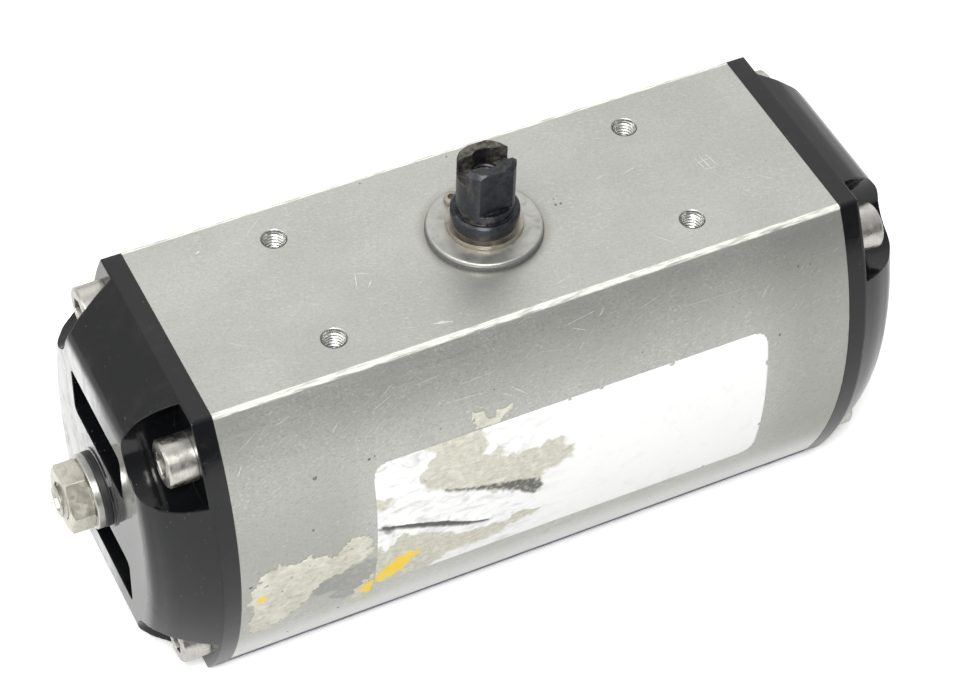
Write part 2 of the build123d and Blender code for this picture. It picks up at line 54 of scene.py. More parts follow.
TOP_HOLES = [(i * 40, j * 15) for i, j in CORNERS]


# =====================================================================================
# shader building
# =====================================================================================
class Field:
    """A node output used as a number. Arithmetic on it adds math nodes."""

    def __init__(self, shader, socket):
        self.shader = shader
        self.socket = socket

    def __add__(self, other):
        return self.shader.math("ADD", self, other)

    def __sub__(self, other):
        return self.shader.math("SUBTRACT", self, other)

    def __rsub__(self, other):
        return self.shader.math("SUBTRACT", other, self)

    def __mul__(self, other):
        return self.shader.math("MULTIPLY", self, other)

    def __abs__(self):
        return self.shader.math("ABSOLUTE", self)

    def ramp(self, over=(0.0, 1.0), to=(0.0, 1.0)):
        """Smooth step from to[0] to to[1] as the value goes from over[0] to over[1]."""
        node = self.shader.node("ShaderNodeMapRange", interpolation_type="SMOOTHSTEP", clamp=True)
        self.shader.put(node.inputs[0], self)
        for index, value in enumerate((*over, *to), start=1):
            node.inputs[index].default_value = value
        return Field(self.shader, node.outputs[0])


def highest(first, *others):
    for other in others:
        first = first.shader.math("MAXIMUM", first, other)
    return first


class Shader:
    """One procedural material. self.point is the place in object space, in millimetres."""

    INPUTS = {"color": "Base Color", "metal": "Metallic", "rough": "Roughness", "ior": "IOR",
              "normal": "Normal", "aniso": "Anisotropic", "spec": "Specular IOR Level"}

    def __init__(self, name):
        self.material = bpy.data.materials.new(name)
        self.material.use_nodes = True
        self.tree = self.material.node_tree
        self.tree.nodes.clear()
        output = self.node("ShaderNodeOutputMaterial")
        self.principled = self.node("ShaderNodeBsdfPrincipled")
        self.put(output.inputs[0], self.principled.outputs[0])
        place = self.node("ShaderNodeTexCoord").outputs["Object"]
        self.point = self.vector("SCALE", place, scale=1000.0)

    def node(self, kind, **settings):
        node = self.tree.nodes.new(kind)
        for key, value in settings.items():
            setattr(node, key, value)
        return node

    def put(self, socket, value):
        """Link or set an input, whichever the value calls for."""
        if isinstance(value, Field):
            value = value.socket
        if isinstance(value, bpy.types.NodeSocket):
            self.tree.links.new(value, socket)
        elif isinstance(value, tuple) and socket.type == "RGBA":
            socket.default_value = (*value, 1.0)
        else:
            socket.default_value = value

    def math(self, operation, first, second=0.0, clamp=False):
        node = self.node("ShaderNodeMath", operation=operation, use_clamp=clamp)
        self.put(node.inputs[0], first)
        self.put(node.inputs[1], second)
        return Field(self, node.outputs[0])

    def vector(self, operation, first, second=None, scale=None):
        node = self.node("ShaderNodeVectorMath", operation=operation)
        self.put(node.inputs[0], first)
        if second is not None:
            self.put(node.inputs[1], second)
        if scale is not None:
            self.put(node.inputs["Scale"], scale)
        if operation in ("DOT_PRODUCT", "DISTANCE", "LENGTH"):
            return Field(self, node.outputs["Value"])
        return node.outputs[0]

    def mapping(self, location, scale, rotation=(0, 0, 0), kind="POINT"):
        node = self.node("ShaderNodeMapping", vector_type=kind)
        self.put(node.inputs[0], self.point)
        node.inputs["Location"].default_value = location
        node.inputs["Rotation"].default_value = rotation
        node.inputs["Scale"].default_value = scale
        return node.outputs[0]

    def along(self, direction, lengthwise, across, shift=(0, 0, 0)):
        """Coordinates turned so that the first runs along direction, each scaled."""
        x = Vector(direction).normalized()
        y = Vector((0, 0, 1)).cross(x).normalized()
        turn = Matrix((x, y, x.cross(y))).transposed().to_euler("XYZ")
        return self.mapping(shift, (1 / lengthwise, 1 / across, 1 / across), turn, "TEXTURE")

    def noise(self, scale=1.0, detail=3.0, rough=0.5, distort=0.0, stretch=None,
              shift=(0, 0, 0), at=None, output="Fac"):
        """Noise at self.point, at coordinates `at`, or with its frequency scaled per axis."""
        node = self.node("ShaderNodeTexNoise")
        if stretch:
            at = self.mapping(shift, stretch)
        self.put(node.inputs["Vector"], at or self.point)
        node.inputs["Scale"].default_value = scale
        node.inputs["Detail"].default_value = detail
        node.inputs["Roughness"].default_value = rough
        node.inputs["Distortion"].default_value = distort
        return Field(self, node.outputs[output])

    def voronoi(self, scale):
        node = self.node("ShaderNodeTexVoronoi")
        self.put(node.inputs["Vector"], self.point)
        node.inputs["Scale"].default_value = scale
        return Field(self, node.outputs["Distance"])

    def layers(self, color, *coats):
        """Lay each (amount, color) coat over the color in turn."""
        for amount, coat in coats:
            node = self.node("ShaderNodeMix", data_type="RGBA", blend_type="MIX")
            self.put(node.inputs[0], amount)
            self.put(node.inputs[6], color)
            self.put(node.inputs[7], coat)
            color = node.outputs[2]
        return color

    def split(self, vector):
        node = self.node("ShaderNodeSeparateXYZ")
        self.put(node.inputs[0], vector)
        return [Field(self, socket) for socket in node.outputs]

    def position(self):
        return self.split(self.point)

    def attribute(self, name):
        node = self.node("ShaderNodeAttribute", attribute_name=name)
        return Field(self, node.outputs["Fac"])

    def normal(self):
        return self.node("ShaderNodeNewGeometry").outputs["Normal"]

    def bevel(self, radius, samples=5):
        node = self.node("ShaderNodeBevel", samples=samples)
        node.inputs["Radius"].default_value = radius * MM
        return node.outputs[0]

    def edge(self, radius, over):
        """1 near edges, where the rounded normal leaves the plain one."""
        dot = self.vector("DOT_PRODUCT", self.bevel(radius, samples=6), self.normal())
        return (1.0 - dot).ramp(over=over)

    def bump(self, height, strength, depth, normal=None):
        node = self.node("ShaderNodeBump")
        node.inputs["Strength"].default_value = strength
        node.inputs["Distance"].default_value = depth * MM
        self.put(node.inputs["Height"], height)
        if normal is not None:
            self.put(node.inputs["Normal"], normal)
        return node.outputs[0]

    def wobbled(self, amount, scale):
        """The point pushed about by noise, to give masks a ragged outline."""
        color = self.noise(scale=scale, detail=2.0, output="Color")
        centred = self.vector("SUBTRACT", color, (0.5, 0.5, 0.5))
        return self.vector("ADD", self.point, self.vector("SCALE", centred, scale=amount))

    def stroke(self, at, start, end, width, soft):
        """Mask of the line from start to end, fading out at half width `width`."""
        start = Vector(start)
        line = Vector(end) - start
        offset = self.vector("SUBTRACT", at, start)
        share = self.vector("DOT_PRODUCT", offset, line / line.length_squared)
        share = self.math("ADD", share, 0.0, clamp=True)
        distance = self.vector("DISTANCE", offset, self.vector("SCALE", line, scale=share))
        return distance.ramp(over=(width, width - soft))

    def spot(self, at, centre, radius, soft):
        return self.vector("DISTANCE", at, centre).ramp(over=(radius, radius - soft))

    def finish(self, **inputs):
        for key, value in inputs.items():
            self.put(self.principled.inputs[self.INPUTS[key]], value)
        return self.material


# =====================================================================================
# materials
# =====================================================================================
def anodised_body():
    mat = Shader("anodised_aluminium")
    x, y, z = mat.position()
    depth = abs(y)
    front = y.ramp(over=(-23.0, -26.0))
    # drawn grain along the length, a fine mottle and broad clouds
    grain = mat.noise(stretch=(0.10, 5.0, 5.0), rough=0.6)
    mottle = mat.noise(scale=1.9, detail=4.0, rough=0.72)
    cloud = mat.noise(stretch=(0.05, 0.06, 0.06), rough=0.55)

    # short bright handling streaks in two directions, and dark ones on the front
    flat_lines = mat.along((1.0, -0.42, 0.30), lengthwise=0.30, across=3.0)
    flat = mat.noise(at=flat_lines, detail=2.5, rough=0.55, distort=0.25).ramp(over=(0.54, 0.72))
    steep_lines = mat.along((1.0, -0.30, 0.75), lengthwise=0.42, across=3.6, shift=(5, 3, 1))
    steep = mat.noise(at=steep_lines, detail=2.0, distort=0.3).ramp(over=(0.60, 0.74))
    patches = mat.noise(scale=0.075, rough=0.6).ramp(over=(0.36, 0.62))
    streaks = highest(flat, steep * 0.9) * patches.ramp(to=(0.25, 1.0))
    streaks = streaks * front.ramp(to=(0.55, 1.0))
    dark_lines = mat.along((1.0, -0.42, 0.22), lengthwise=0.22, across=2.4, shift=(9, 2, 6))
    dark = mat.noise(at=dark_lines, rough=0.6, distort=0.2).ramp(over=(0.52, 0.70)) * front

    # smudge below the label, glue to its left, haze above it
    at = mat.wobbled(amount=0.5, scale=0.8)
    smudge = highest(
        mat.stroke(at, (-3.5, -33.0, 12.0), (6.0, -33.6, 16.2), width=3.0, soft=2.6),
        mat.stroke(at, (5.0, -33.6, 16.0), (21.0, -33.8, 16.8), width=1.6, soft=1.5))
    smudge = smudge * mat.noise(stretch=(0.25, 1.2, 1.2), detail=4.0, rough=0.6).ramp(
        over=(0.35, 0.62))
    at = mat.wobbled(amount=7.0, scale=0.22)
    glue = highest(
        mat.stroke(at, (-51.5, -34.0, 27.0), (-42.0, -34.2, 28.5), width=3.6, soft=1.2),
        mat.stroke(at, (-47.0, -34.0, 21.0), (-43.0, -34.2, 25.0), width=3.4, soft=1.2))
    glue = glue * mat.noise(scale=0.8, detail=5.0, rough=0.75).ramp(
        over=(0.30, 0.52), to=(0.25, 0.95))
    at = mat.wobbled(amount=0.5, scale=0.8)
    haze = highest(mat.spot(at, (-16.0, -31.2, 61.5), radius=9.0, soft=7.0),
                   mat.spot(at, (-28.0, -31.6, 60.0), radius=6.0, soft=5.0))
    haze = haze * mat.noise(scale=0.7, detail=4.0, rough=0.65).ramp(over=(0.35, 0.7))

    # oily ring round the shaft washer
    radius = mat.vector("LENGTH", mat.vector("MULTIPLY", mat.point, (1, 1, 0)))
    ring = radius.ramp(over=(14.6, 12.1)) * z.ramp(over=(77.0, 77.9))
    # painted light and shade by place: a painted floor reflection on the foot of the front,
    # painted shade on its head and at its two ends, a painted shadow line along the bottom edges,
    # a painted highlight along the top edges
    foot = front * z.ramp(over=(19.0, 4.5))
    head = front * z.ramp(over=(52.0, 70.0))
    right = front * x.ramp(over=(40.0, 62.0)) * z.ramp(over=(8.0, 26.0))
    left = front * x.ramp(over=(-36.0, -50.0)) * (
        z.ramp(over=(12.0, 30.0)) * z.ramp(over=(68.0, 50.0)))
    # painted shadow line along the bottom edges, also made dull and matte
    shadow_line = z.ramp(over=(4.3, 3.3)) * depth.ramp(over=(22.4, 23.0))
    # painted highlight along the top edges
    rim = z.ramp(over=(77.20, 77.55)) * depth.ramp(over=(23.25, 23.55))
    rim = rim * mat.noise(stretch=(0.25, 2.0, 2.0), rough=0.6).ramp(
        over=(0.34, 0.60), to=(0.25, 0.9))

    color = mat.layers(
        (0.475, 0.480, 0.445),
        (cloud.ramp(over=(0.3, 0.7)), (0.525, 0.528, 0.492)),
        (mottle.ramp(over=(0.30, 0.55), to=(1.0, 0.0)) * 0.45, (0.36, 0.365, 0.34)),
        (mottle.ramp(over=(0.52, 0.78)) * 0.45, (0.66, 0.665, 0.62)),
        (grain.ramp(over=(0.42, 0.72)) * 0.30, (0.60, 0.60, 0.565)),
        (dark * 0.55, (0.31, 0.315, 0.295)),
        (streaks * 0.62, (0.80, 0.80, 0.76)),
        # the next five coats are painted light and shade: floor reflection, shade high up and at
        # the ends, bottom shadow line, top edge highlight
        (foot * 0.80, (0.88, 0.88, 0.87)),
        (head * 0.18, (0.36, 0.365, 0.34)),
        (highest(right * 0.60, left * 0.42), (0.30, 0.305, 0.280)),
        (shadow_line * 0.9, (0.10, 0.11, 0.15)),
        (rim, (0.92, 0.915, 0.83)),
        (ring * 0.45, (0.26, 0.245, 0.20)),
        (haze * 0.35, (0.30, 0.30, 0.275)),
        (glue * 0.55, (0.27, 0.275, 0.265)),
        (smudge * 0.6, (0.20, 0.205, 0.20)))
    rough = grain.ramp(over=(0.3, 0.7), to=(0.38, 0.48)) + highest(glue, smudge) * 0.2
    height = grain * 0.5 + mottle * 0.7 - streaks * 0.8
    dull = highest(glue * 0.5, haze * 0.5, rim, shadow_line * 1.4)
    return mat.finish(
        color=color, metal=dull.ramp(to=(0.88, 0.25)), rough=rough + shadow_line * 0.3,
        normal=mat.bump(height, strength=0.42, depth=0.03, normal=mat.bevel(radius=0.25)),
        aniso=0.25, spec=shadow_line.ramp(to=(0.5, 0.05)))


def gloss_cap():
    mat = Shader("gloss_black_cap")
    peel = mat.noise(scale=0.55, rough=0.55)
    fine = mat.noise(scale=6.0, rough=0.6)
    dust = mat.voronoi(scale=0.85).ramp(over=(0.10, 0.04))
    dust = dust * mat.noise(scale=0.16, detail=2.0).ramp(over=(0.50, 0.62))
    film = mat.noise(scale=0.12, detail=5.0, rough=0.7).ramp(over=(0.50, 0.80))
    scratches = highest(
        mat.noise(stretch=(2.4, 0.3, 2.4), detail=2.0, distort=0.6).ramp(over=(0.74, 0.78)),
        mat.noise(stretch=(0.4, 3.6, 1.2), shift=(5, 1, 4), detail=2.0, distort=0.8).ramp(
            over=(0.74, 0.79)))
    edges = mat.edge(radius=0.5, over=(0.05, 0.4))
    edges = edges * mat.noise(scale=1.1, detail=4.0, rough=0.7).ramp(over=(0.50, 0.66))
    # painted reflection on the outer end faces: a streaky grey sheen, pale where seen at a low
    # angle and more so behind y = 4
    end_sheen = abs(mat.split(mat.normal())[0]).ramp(over=(0.86, 0.995))
    end_sheen = end_sheen * mat.noise(stretch=(1.0, 0.25, 0.12), detail=4.0, rough=0.65).ramp(
        over=(0.30, 0.62), to=(0.55, 1.0))
    end_sheen = end_sheen * abs(mat.position()[0]).ramp(over=(84.6, 85.3))
    weight = mat.node("ShaderNodeLayerWeight")
    weight.inputs["Blend"].default_value = 0.5
    graze = Field(mat, weight.outputs["Facing"]).ramp(over=(0.45, 0.80))
    graze = graze * mat.position()[1].ramp(over=(-9.0, 4.0), to=(0.08, 1.0))

    color = mat.layers(
        (0.0045, 0.0048, 0.0055),
        (film * 0.6, (0.020, 0.020, 0.019)),
        (dust * 0.55, (0.30, 0.29, 0.26)),
        (scratches * 0.25, (0.12, 0.12, 0.12)),
        (edges * 0.5, (0.10, 0.095, 0.085)),
        # painted reflection on the end faces
        (end_sheen * 0.40, (0.16, 0.16, 0.157)),
        (end_sheen * graze, (0.58, 0.585, 0.58)))
    return mat.finish(
        color=color, metal=0.0, ior=1.5, spec=0.42,
        rough=film.ramp(to=(0.10, 0.26)) + highest(dust, edges, scratches) * 0.3,
        normal=mat.bump(peel + fine * 0.04, strength=0.22, depth=0.10,
                        normal=mat.bevel(radius=0.45)))


def steel(name, tint, dirt_color, dirt_amount, rough, axis="x", bevel=0.2):
    """Turned metal with tool marks across the axis and dirt in its crevices."""
    mat = Shader(name)
    turned = mat.noise(stretch=(5.0, 0.35, 0.35) if axis == "x" else (0.35, 0.35, 5.0), rough=0.6)
    fine = mat.noise(scale=7.0, rough=0.6)
    blotch = mat.noise(scale=0.45, detail=4.0, rough=0.65)
    pits = mat.noise(scale=3.5, detail=4.0, rough=0.7).ramp(over=(0.68, 0.76))
    occlusion = mat.node("ShaderNodeAmbientOcclusion", samples=6)
    occlusion.inputs["Distance"].default_value = 1.6 * MM
    crevice = Field(mat, occlusion.outputs["AO"]).ramp(over=(0.75, 0.25))
    dirt = highest(crevice, blotch.ramp(over=(0.50, 0.72)) * 0.55) * dirt_amount
    color = mat.layers(
        tuple(v * 0.86 for v in tint),
        (turned.ramp(over=(0.3, 0.7)), tint),
        (dirt, dirt_color),
        (pits * 0.4, tuple(v * 0.35 for v in tint)))
    return mat.finish(
        color=color, metal=dirt.ramp(to=(1.0, 0.45)),
        rough=blotch.ramp(over=(0.3, 0.7), to=(rough, rough + 0.14)) + dirt * 0.3,
        normal=mat.bump(turned + fine * 0.25, strength=0.22, depth=0.03,
                        normal=mat.bevel(bevel)))


def blackened_shaft():
    mat = Shader("blackened_shaft_steel")
    x, y, z = mat.position()
    fine = mat.noise(scale=5.0, detail=4.0, rough=0.65)
    turned = mat.noise(stretch=(0.5, 0.5, 6.0), detail=2.0)
    blotch = mat.noise(scale=0.7, detail=4.0, rough=0.65)
    # rusty grime in the slot and on the end, on the collar and low down; on the left flank the
    # brown is partly rust and partly a painted reflection
    head = z.ramp(over=(90.5, 95.0))
    slot = highest(abs(y).ramp(over=(3.6, 1.6)), z.ramp(over=(97.2, 97.9))) * head
    slot = slot * y.ramp(over=(-2.6, 0.8), to=(0.25, 1.0))
    slot = slot * mat.noise(scale=0.9, detail=4.0, rough=0.62).ramp(over=(0.28, 0.74))
    collar = z.ramp(over=(88.6, 86.4)) * z.ramp(over=(84.2, 85.0))
    collar = collar * mat.noise(scale=0.45, rough=0.6).ramp(over=(0.50, 0.72))
    # brown on the left flank: partly rust, partly a painted reflection
    flank = x.ramp(over=(-2.0, -5.6)) * z.ramp(over=(86.0, 95.0))
    flank = flank * mat.noise(stretch=(1.0, 1.0, 0.4), scale=0.7, rough=0.6).ramp(
        over=(0.40, 0.75))
    low = z.ramp(over=(83.0, 80.0))
    rust_and_sheen = highest(slot * 0.72, collar * 0.45, flank * 0.30, low * 0.20)
    rust_and_sheen_color = mat.layers(
        (0.125, 0.108, 0.070), (mat.noise(scale=1.6, rough=0.6), (0.26, 0.235, 0.165)))
    wear = mat.edge(radius=0.35, over=(0.03, 0.3))
    wear = wear * mat.noise(scale=1.4, detail=4.0, rough=0.7).ramp(over=(0.40, 0.62))
    color = mat.layers(
        (0.020, 0.022, 0.030),
        (blotch.ramp(over=(0.3, 0.75)), (0.040, 0.043, 0.054)),
        (fine.ramp(over=(0.55, 0.75)) * 0.4, (0.09, 0.09, 0.10)),
        (rust_and_sheen, rust_and_sheen_color),
        (wear * 0.55, (0.30, 0.30, 0.31)))
    return mat.finish(
        color=color, metal=rust_and_sheen.ramp(to=(0.72, 0.05)),
        rough=blotch.ramp(over=(0.3, 0.7), to=(0.26, 0.40)) + rust_and_sheen * 0.35,
        normal=mat.bump(fine * 0.5 + turned * 0.4 + rust_and_sheen * 0.8, strength=0.30, depth=0.05,
                        normal=mat.bevel(radius=0.25)))


def plain(name, dark, light, rough, metal=0.0, bump=0.2, scale=1.2, bevel=0.25):
    """A mottled material between two colors, with a scatter of specks."""
    mat = Shader(name)
    mottle = mat.noise(scale=scale, detail=4.0, rough=0.6)
    fine = mat.noise(scale=scale * 6, rough=0.6)
    specks = mat.voronoi(scale=scale * 2.2).ramp(over=(0.12, 0.02))
    color = mat.layers(
        dark,
        (mottle.ramp(over=(0.3, 0.7)), light),
        (specks * 0.3, tuple(v * 0.5 + 0.1 for v in light)))
    return mat.finish(
        color=color, metal=metal,
        rough=fine.ramp(over=(0.3, 0.7), to=(rough - 0.05, rough + 0.08)),
        normal=mat.bump(mottle + fine * 0.4, strength=bump, depth=0.05,
                        normal=mat.bevel(bevel)))


def label_film():
    """White film, bare paper, dark creases and yellow paint, placed by mesh attributes."""
    mat = Shader("torn_label_film")
    film, paint, crease, tone = map(mat.attribute, ("film", "paint", "crease", "tone"))
    fibre = mat.noise(stretch=(0.5, 1.4, 1.4), detail=5.0, rough=0.68, distort=0.8)
    clumps = mat.noise(scale=0.45, detail=5.0, rough=0.66, distort=1.2)
    dirt = mat.noise(scale=0.22, detail=5.0, rough=0.72).ramp(over=(0.50, 0.78))
    scuff = mat.noise(stretch=(0.5, 2.6, 2.6), rough=0.6, distort=0.5).ramp(over=(0.66, 0.74))
    speck = mat.noise(scale=3.8, rough=0.6).ramp(over=(0.70, 0.76))
    # painted grey shade that thickens towards the left of the label
    left_shade = mat.position()[0].ramp(over=(8.0, -16.0))
    left_shade = left_shade * mat.noise(stretch=(0.16, 0.42, 0.42), detail=5.0, rough=0.72,
                              distort=0.9).ramp(over=(0.46, 0.70))
    white = mat.layers(
        (0.86, 0.865, 0.855),
        (dirt * 0.30, (0.62, 0.615, 0.58)),
        (scuff * 0.16, (0.52, 0.52, 0.50)),
        # painted shade towards the left of the label
        (left_shade * 0.55, (0.36, 0.355, 0.33)),
        (speck * 0.5, (0.30, 0.29, 0.27)))
    paper = mat.layers(
        (0.48, 0.475, 0.40),
        (fibre.ramp(over=(0.3, 0.7)), (0.63, 0.62, 0.53)),
        (clumps.ramp(over=(0.50, 0.72)) * 0.5, (0.30, 0.295, 0.25)),
        (tone * 0.6, (0.76, 0.755, 0.68)))
    color = mat.layers(
        paper,
        (film, white),
        (crease, mat.layers((0.035, 0.035, 0.035), (clumps, (0.16, 0.16, 0.155)))),
        (paint, mat.layers((0.80, 0.50, 0.004), (clumps, (0.90, 0.66, 0.012)))))
    height = (fibre * 0.8 + clumps * 0.8) * film.ramp(to=(1.0, 0.10))
    return mat.finish(color=color, rough=highest(film, paint).ramp(to=(0.75, 0.34)), spec=0.45,
                      normal=mat.bump(height, strength=0.4, depth=0.10))


MATERIALS = {
    "body": anodised_body(),
    "cap": gloss_cap(),
    "screw": steel("stainless_screw", tint=(0.62, 0.605, 0.56), dirt_color=(0.20, 0.17, 0.12),
                   dirt_amount=0.6, rough=0.24),
    "stud": steel("stainless_stud", tint=(0.62, 0.60, 0.55), dirt_color=(0.12, 0.10, 0.07),
                  dirt_amount=0.8, rough=0.28),
    "nut": steel("passivated_nut", tint=(0.72, 0.69, 0.60), dirt_color=(0.26, 0.21, 0.12),
                 dirt_amount=0.55, rough=0.27, bevel=0.3),
    "washer": steel("stainless_washer", tint=(0.66, 0.655, 0.62), dirt_color=(0.25, 0.21, 0.14),
                    dirt_amount=0.5, rough=0.26),
    "thrust": steel("thrust_washer_steel", tint=(0.54, 0.54, 0.51),
                    dirt_color=(0.27, 0.235, 0.17), dirt_amount=0.7, rough=0.40, axis="z"),
    "ring": steel("circlip_steel", tint=(0.46, 0.43, 0.37), dirt_color=(0.20, 0.15, 0.09),
                  dirt_amount=0.8, rough=0.34, axis="z", bevel=0.15),
    "thread": steel("cut_thread_aluminium", tint=(0.74, 0.74, 0.71),
                    dirt_color=(0.10, 0.10, 0.09), dirt_amount=0.75, rough=0.26, axis="z",
                    bevel=0.05),
    "shaft": blackened_shaft(),
    "rubber": plain("black_rubber", dark=(0.010, 0.010, 0.011), light=(0.022, 0.022, 0.023),
                    rough=0.5, bump=0.3),
    "polymer_dark": plain("dark_polymer", dark=(0.075, 0.078, 0.085), light=(0.12, 0.122, 0.13),
                          rough=0.45),
    "polymer": plain("natural_polymer", dark=(0.66, 0.62, 0.52), light=(0.74, 0.70, 0.60),
                     rough=0.42),
    "cast": plain("cast_piston_aluminium", dark=(0.50, 0.50, 0.50), light=(0.62, 0.62, 0.62),
                  rough=0.38, metal=0.9, bump=0.35),
    "label": label_film(),
    "scratch": steel("bared_aluminium", tint=(0.84, 0.84, 0.82), dirt_color=(0.6, 0.6, 0.56),
                     dirt_amount=0.2, rough=0.34, axis="z", bevel=0.02),
    "speck": plain("dirt_specks", dark=(0.10, 0.098, 0.088), light=(0.20, 0.19, 0.165),
                   rough=0.7, bump=0.6, scale=3.0, bevel=0.05),
}

BY_NAME = {"body_housing": "body", "thrust_washer": "thrust", "retaining_ring": "ring",
           "pinion": "shaft", "thrust_bearing": "polymer_dark", "piston_left": "cast",
           "piston_right": "cast", "rating_label": "label"}
BY_PREFIX = {"end_cap": "cap", "cap_screws": "screw", "stop_screw": "stud", "stop_nut": "nut",
             "stop_washer": "washer"}


def material_key(name):
    if name in BY_NAME:
        return BY_NAME[name]
    for prefix, key in BY_PREFIX.items():
        if name.startswith(prefix):
            return key
    return "rubber" if "oring" in name or "seal" in name else "polymer"


for name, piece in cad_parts.items():
    piece.data.materials.clear()
    piece.data.materials.append(MATERIALS[material_key(name)])


# =====================================================================================
# threads
# =====================================================================================
def new_object(name, verts, faces, material, body):
    mesh = bpy.data.meshes.new(name)
    mesh.from_pydata([tuple(v) for v in verts], [], faces)
    mesh.validate()
    mesh.update()
    obj = bpy.data.objects.new(name, mesh)
    bpy.context.scene.collection.objects.link(obj)
    for polygon in mesh.polygons:
        polygon.use_smooth = True
    mesh.materials.append(material)
    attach(obj, body)
    return obj


def thread_height(turns):
    """Thread section: 0 at the root, 1 at the crest, small flats at both."""
    rise = abs(2 * (turns % 1.0) - 1.0)
    return min(1.0, max(0.0, (rise - 0.10) / 0.78))


def add_ring(verts, centre, across, up, radii):
    """Add one vertex per radius, evenly round the centre."""
    for j, radius in enumerate(radii):
        angle = 2 * math.pi * j / len(radii)
        verts.append((centre + (across * math.cos(angle) + up * math.sin(angle)) * radius) * MM)


def bridge(faces, first, second, segments):
    """Quads between two rings, given the index of each one's first vertex."""
    for j in range(segments):
        after = (j + 1) % segments
        faces.append((first + j, first + after, second + after, second + j))


def add_sleeve(verts, faces, mouth, axis, depth, wall, crest, pitch, start=0.35, segments=40):
    """Thread lining a blind hole. The axis points out of the mouth; the run-in is at start."""
    axis, mouth = Vector(axis).normalized(), Vector(mouth)
    across = Vector((0, 0, 1)) if abs(axis.z) < 0.9 else Vector((1, 0, 0))
    across = (across - axis * across.dot(axis)).normalized()
    up = axis.cross(across)
    steps = int(depth / pitch * 8)
    base = len(verts)
    for i in range(steps + 1):
        down = depth * i / steps
        lead = min(1.0, max(0.0, (down - start) / (pitch * 0.9)))
        tail = min(1.0, max(0.0, (depth - down) / (pitch * 0.5)))
        radii = [wall - (wall - crest) * thread_height(down / pitch + j / segments) * lead * tail
                 for j in range(segments)]
        add_ring(verts, mouth - axis * down, across, up, radii)
    for i in range(steps):
        bridge(faces, base + i * segments, base + (i + 1) * segments, segments)


def hole_threads(name, mouths, body="housing", slot="anodised_body", material="thread", **thread):
    verts, faces = [], []
    for mouth in mouths:
        add_sleeve(verts, faces, mouth, **thread)
    new_object(name, verts, faces, MATERIALS[material], body)


M5 = dict(wall=2.485, crest=2.07, pitch=0.8)
M6 = dict(wall=2.985, crest=2.46, pitch=1.0)
FLANGE = 25 * math.cos(math.pi / 4)     # holes on a circle of radius 25, on the diagonals
BACK_Y = 37.5                           # back face with the valve holes and air ports

hole_threads("top_hole_threads", [(x, y, TOP) for x, y in TOP_HOLES],
             axis=(0, 0, 1), depth=7.9, **M5)
hole_threads("flange_hole_threads", [(i * FLANGE, j * FLANGE, 0) for i, j in CORNERS],
             axis=(0, 0, -1), depth=8.9, start=0.5, **M6)
hole_threads("valve_hole_threads", [(i * 16, BACK_Y, AXIS_Z + j * 12) for i, j in CORNERS],
             axis=(0, 1, 0), depth=5.4, **M5)
hole_threads("air_port_threads", [(i * 12, BACK_Y, AXIS_Z) for i in (-1, 1)],
             axis=(0, 1, 0), depth=5.3, wall=6.565, crest=5.75, pitch=1.337, start=0.4,
             segments=72)
hole_threads("shaft_end_thread", [(0, 0, 94.0)], body="pinion_shaft", slot="dark_shaft_steel",
             material="shaft", axis=(0, 0, 1), depth=9.9, start=0.15, segments=48, **M6)


def stop_screw(side):
    """M8 travel stop screw with thread, chamfers and hexagon socket, for the plain CAD rod."""
    segments, pitch, crest, root = 72, 1.25, 3.975, 3.24
    socket_flats = 4.0
    low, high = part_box("stop_screw_" + side)
    sign = -1 if side == "left" else 1
    inner, outer = (high.x, low.x) if side == "left" else (low.x, high.x)
    inner, outer = inner * 1000, outer * 1000
    length = abs(outer - inner)
    steps = int(length / pitch * 10)
    axis, across = Vector((sign, 0, 0)), Vector((0, 1, 0))
    up = axis.cross(across)
    origin = Vector((inner, 0, AXIS_Z))
    verts, faces = [], []
    for i in range(steps + 1):
        along = length * i / steps
        chamfer = min(crest, root - 0.25 + along * 0.9, root - 0.1 + (length - along) * 1.1)
        radii = [min(root + (crest - root) * thread_height(along / pitch + j / segments), chamfer)
                 for j in range(segments)]
        add_ring(verts, origin + axis * along, across, up, radii)
    for i in range(steps):
        bridge(faces, i * segments, (i + 1) * segments, segments)
    faces.append(tuple(reversed(range(segments))))

    # end face, hexagon socket, socket floor
    angles = [2 * math.pi * j / segments for j in range(segments)]
    hexagon = [socket_flats / 2 / math.cos((a + math.pi / 6) % (math.pi / 3) - math.pi / 6)
               for a in angles]
    rings = [(length, [2.45] * segments),
             (length, [min(2.4, radius + 0.12) for radius in hexagon]),
             (length - 0.15, hexagon),
             (length - 3.9, hexagon),
             (length - 4.6, [0.4] * segments)]
    previous = steps * segments
    for along, radii in rings:
        base = len(verts)
        add_ring(verts, origin + axis * along, across, up, radii)
        bridge(faces, previous, base, segments)
        previous = base
    faces.append(tuple(previous + j for j in range(segments)))
    obj = new_object("stop_screw_" + side + "_threaded", verts, faces, MATERIALS["stud"],
                     side + "_stop")
    obj.data.set_sharp_from_angle(angle=math.radians(50))
    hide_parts("stop_screw_" + side)


stop_screw("left")
stop_screw("right")


# =====================================================================================
# torn label and its residue, on the front arc
# =====================================================================================
def on_arc(outline):
    """Carry (x, z) points laid out on a slightly fuller arc to this one."""
    placed = []
    for x, z in outline:
        below, above = max(0, 50 - z), max(0, z - 55)
        placed.append((x + 0.33 + (x + 68) * 0.0018 + 0.0003 * below ** 2,
                       z - 0.98 - 0.00138 * below ** 2 - 0.006 * above))
    return placed


def arc_point(x, z, height):
    """Point at a height above the metal of the front arc, in mm."""
    angle = math.asin((z - AXIS_Z) / ARC_R)
    radius = ARC_R + height
    return x, ARC_Y - radius * math.cos(angle), AXIS_Z + radius * math.sin(angle)


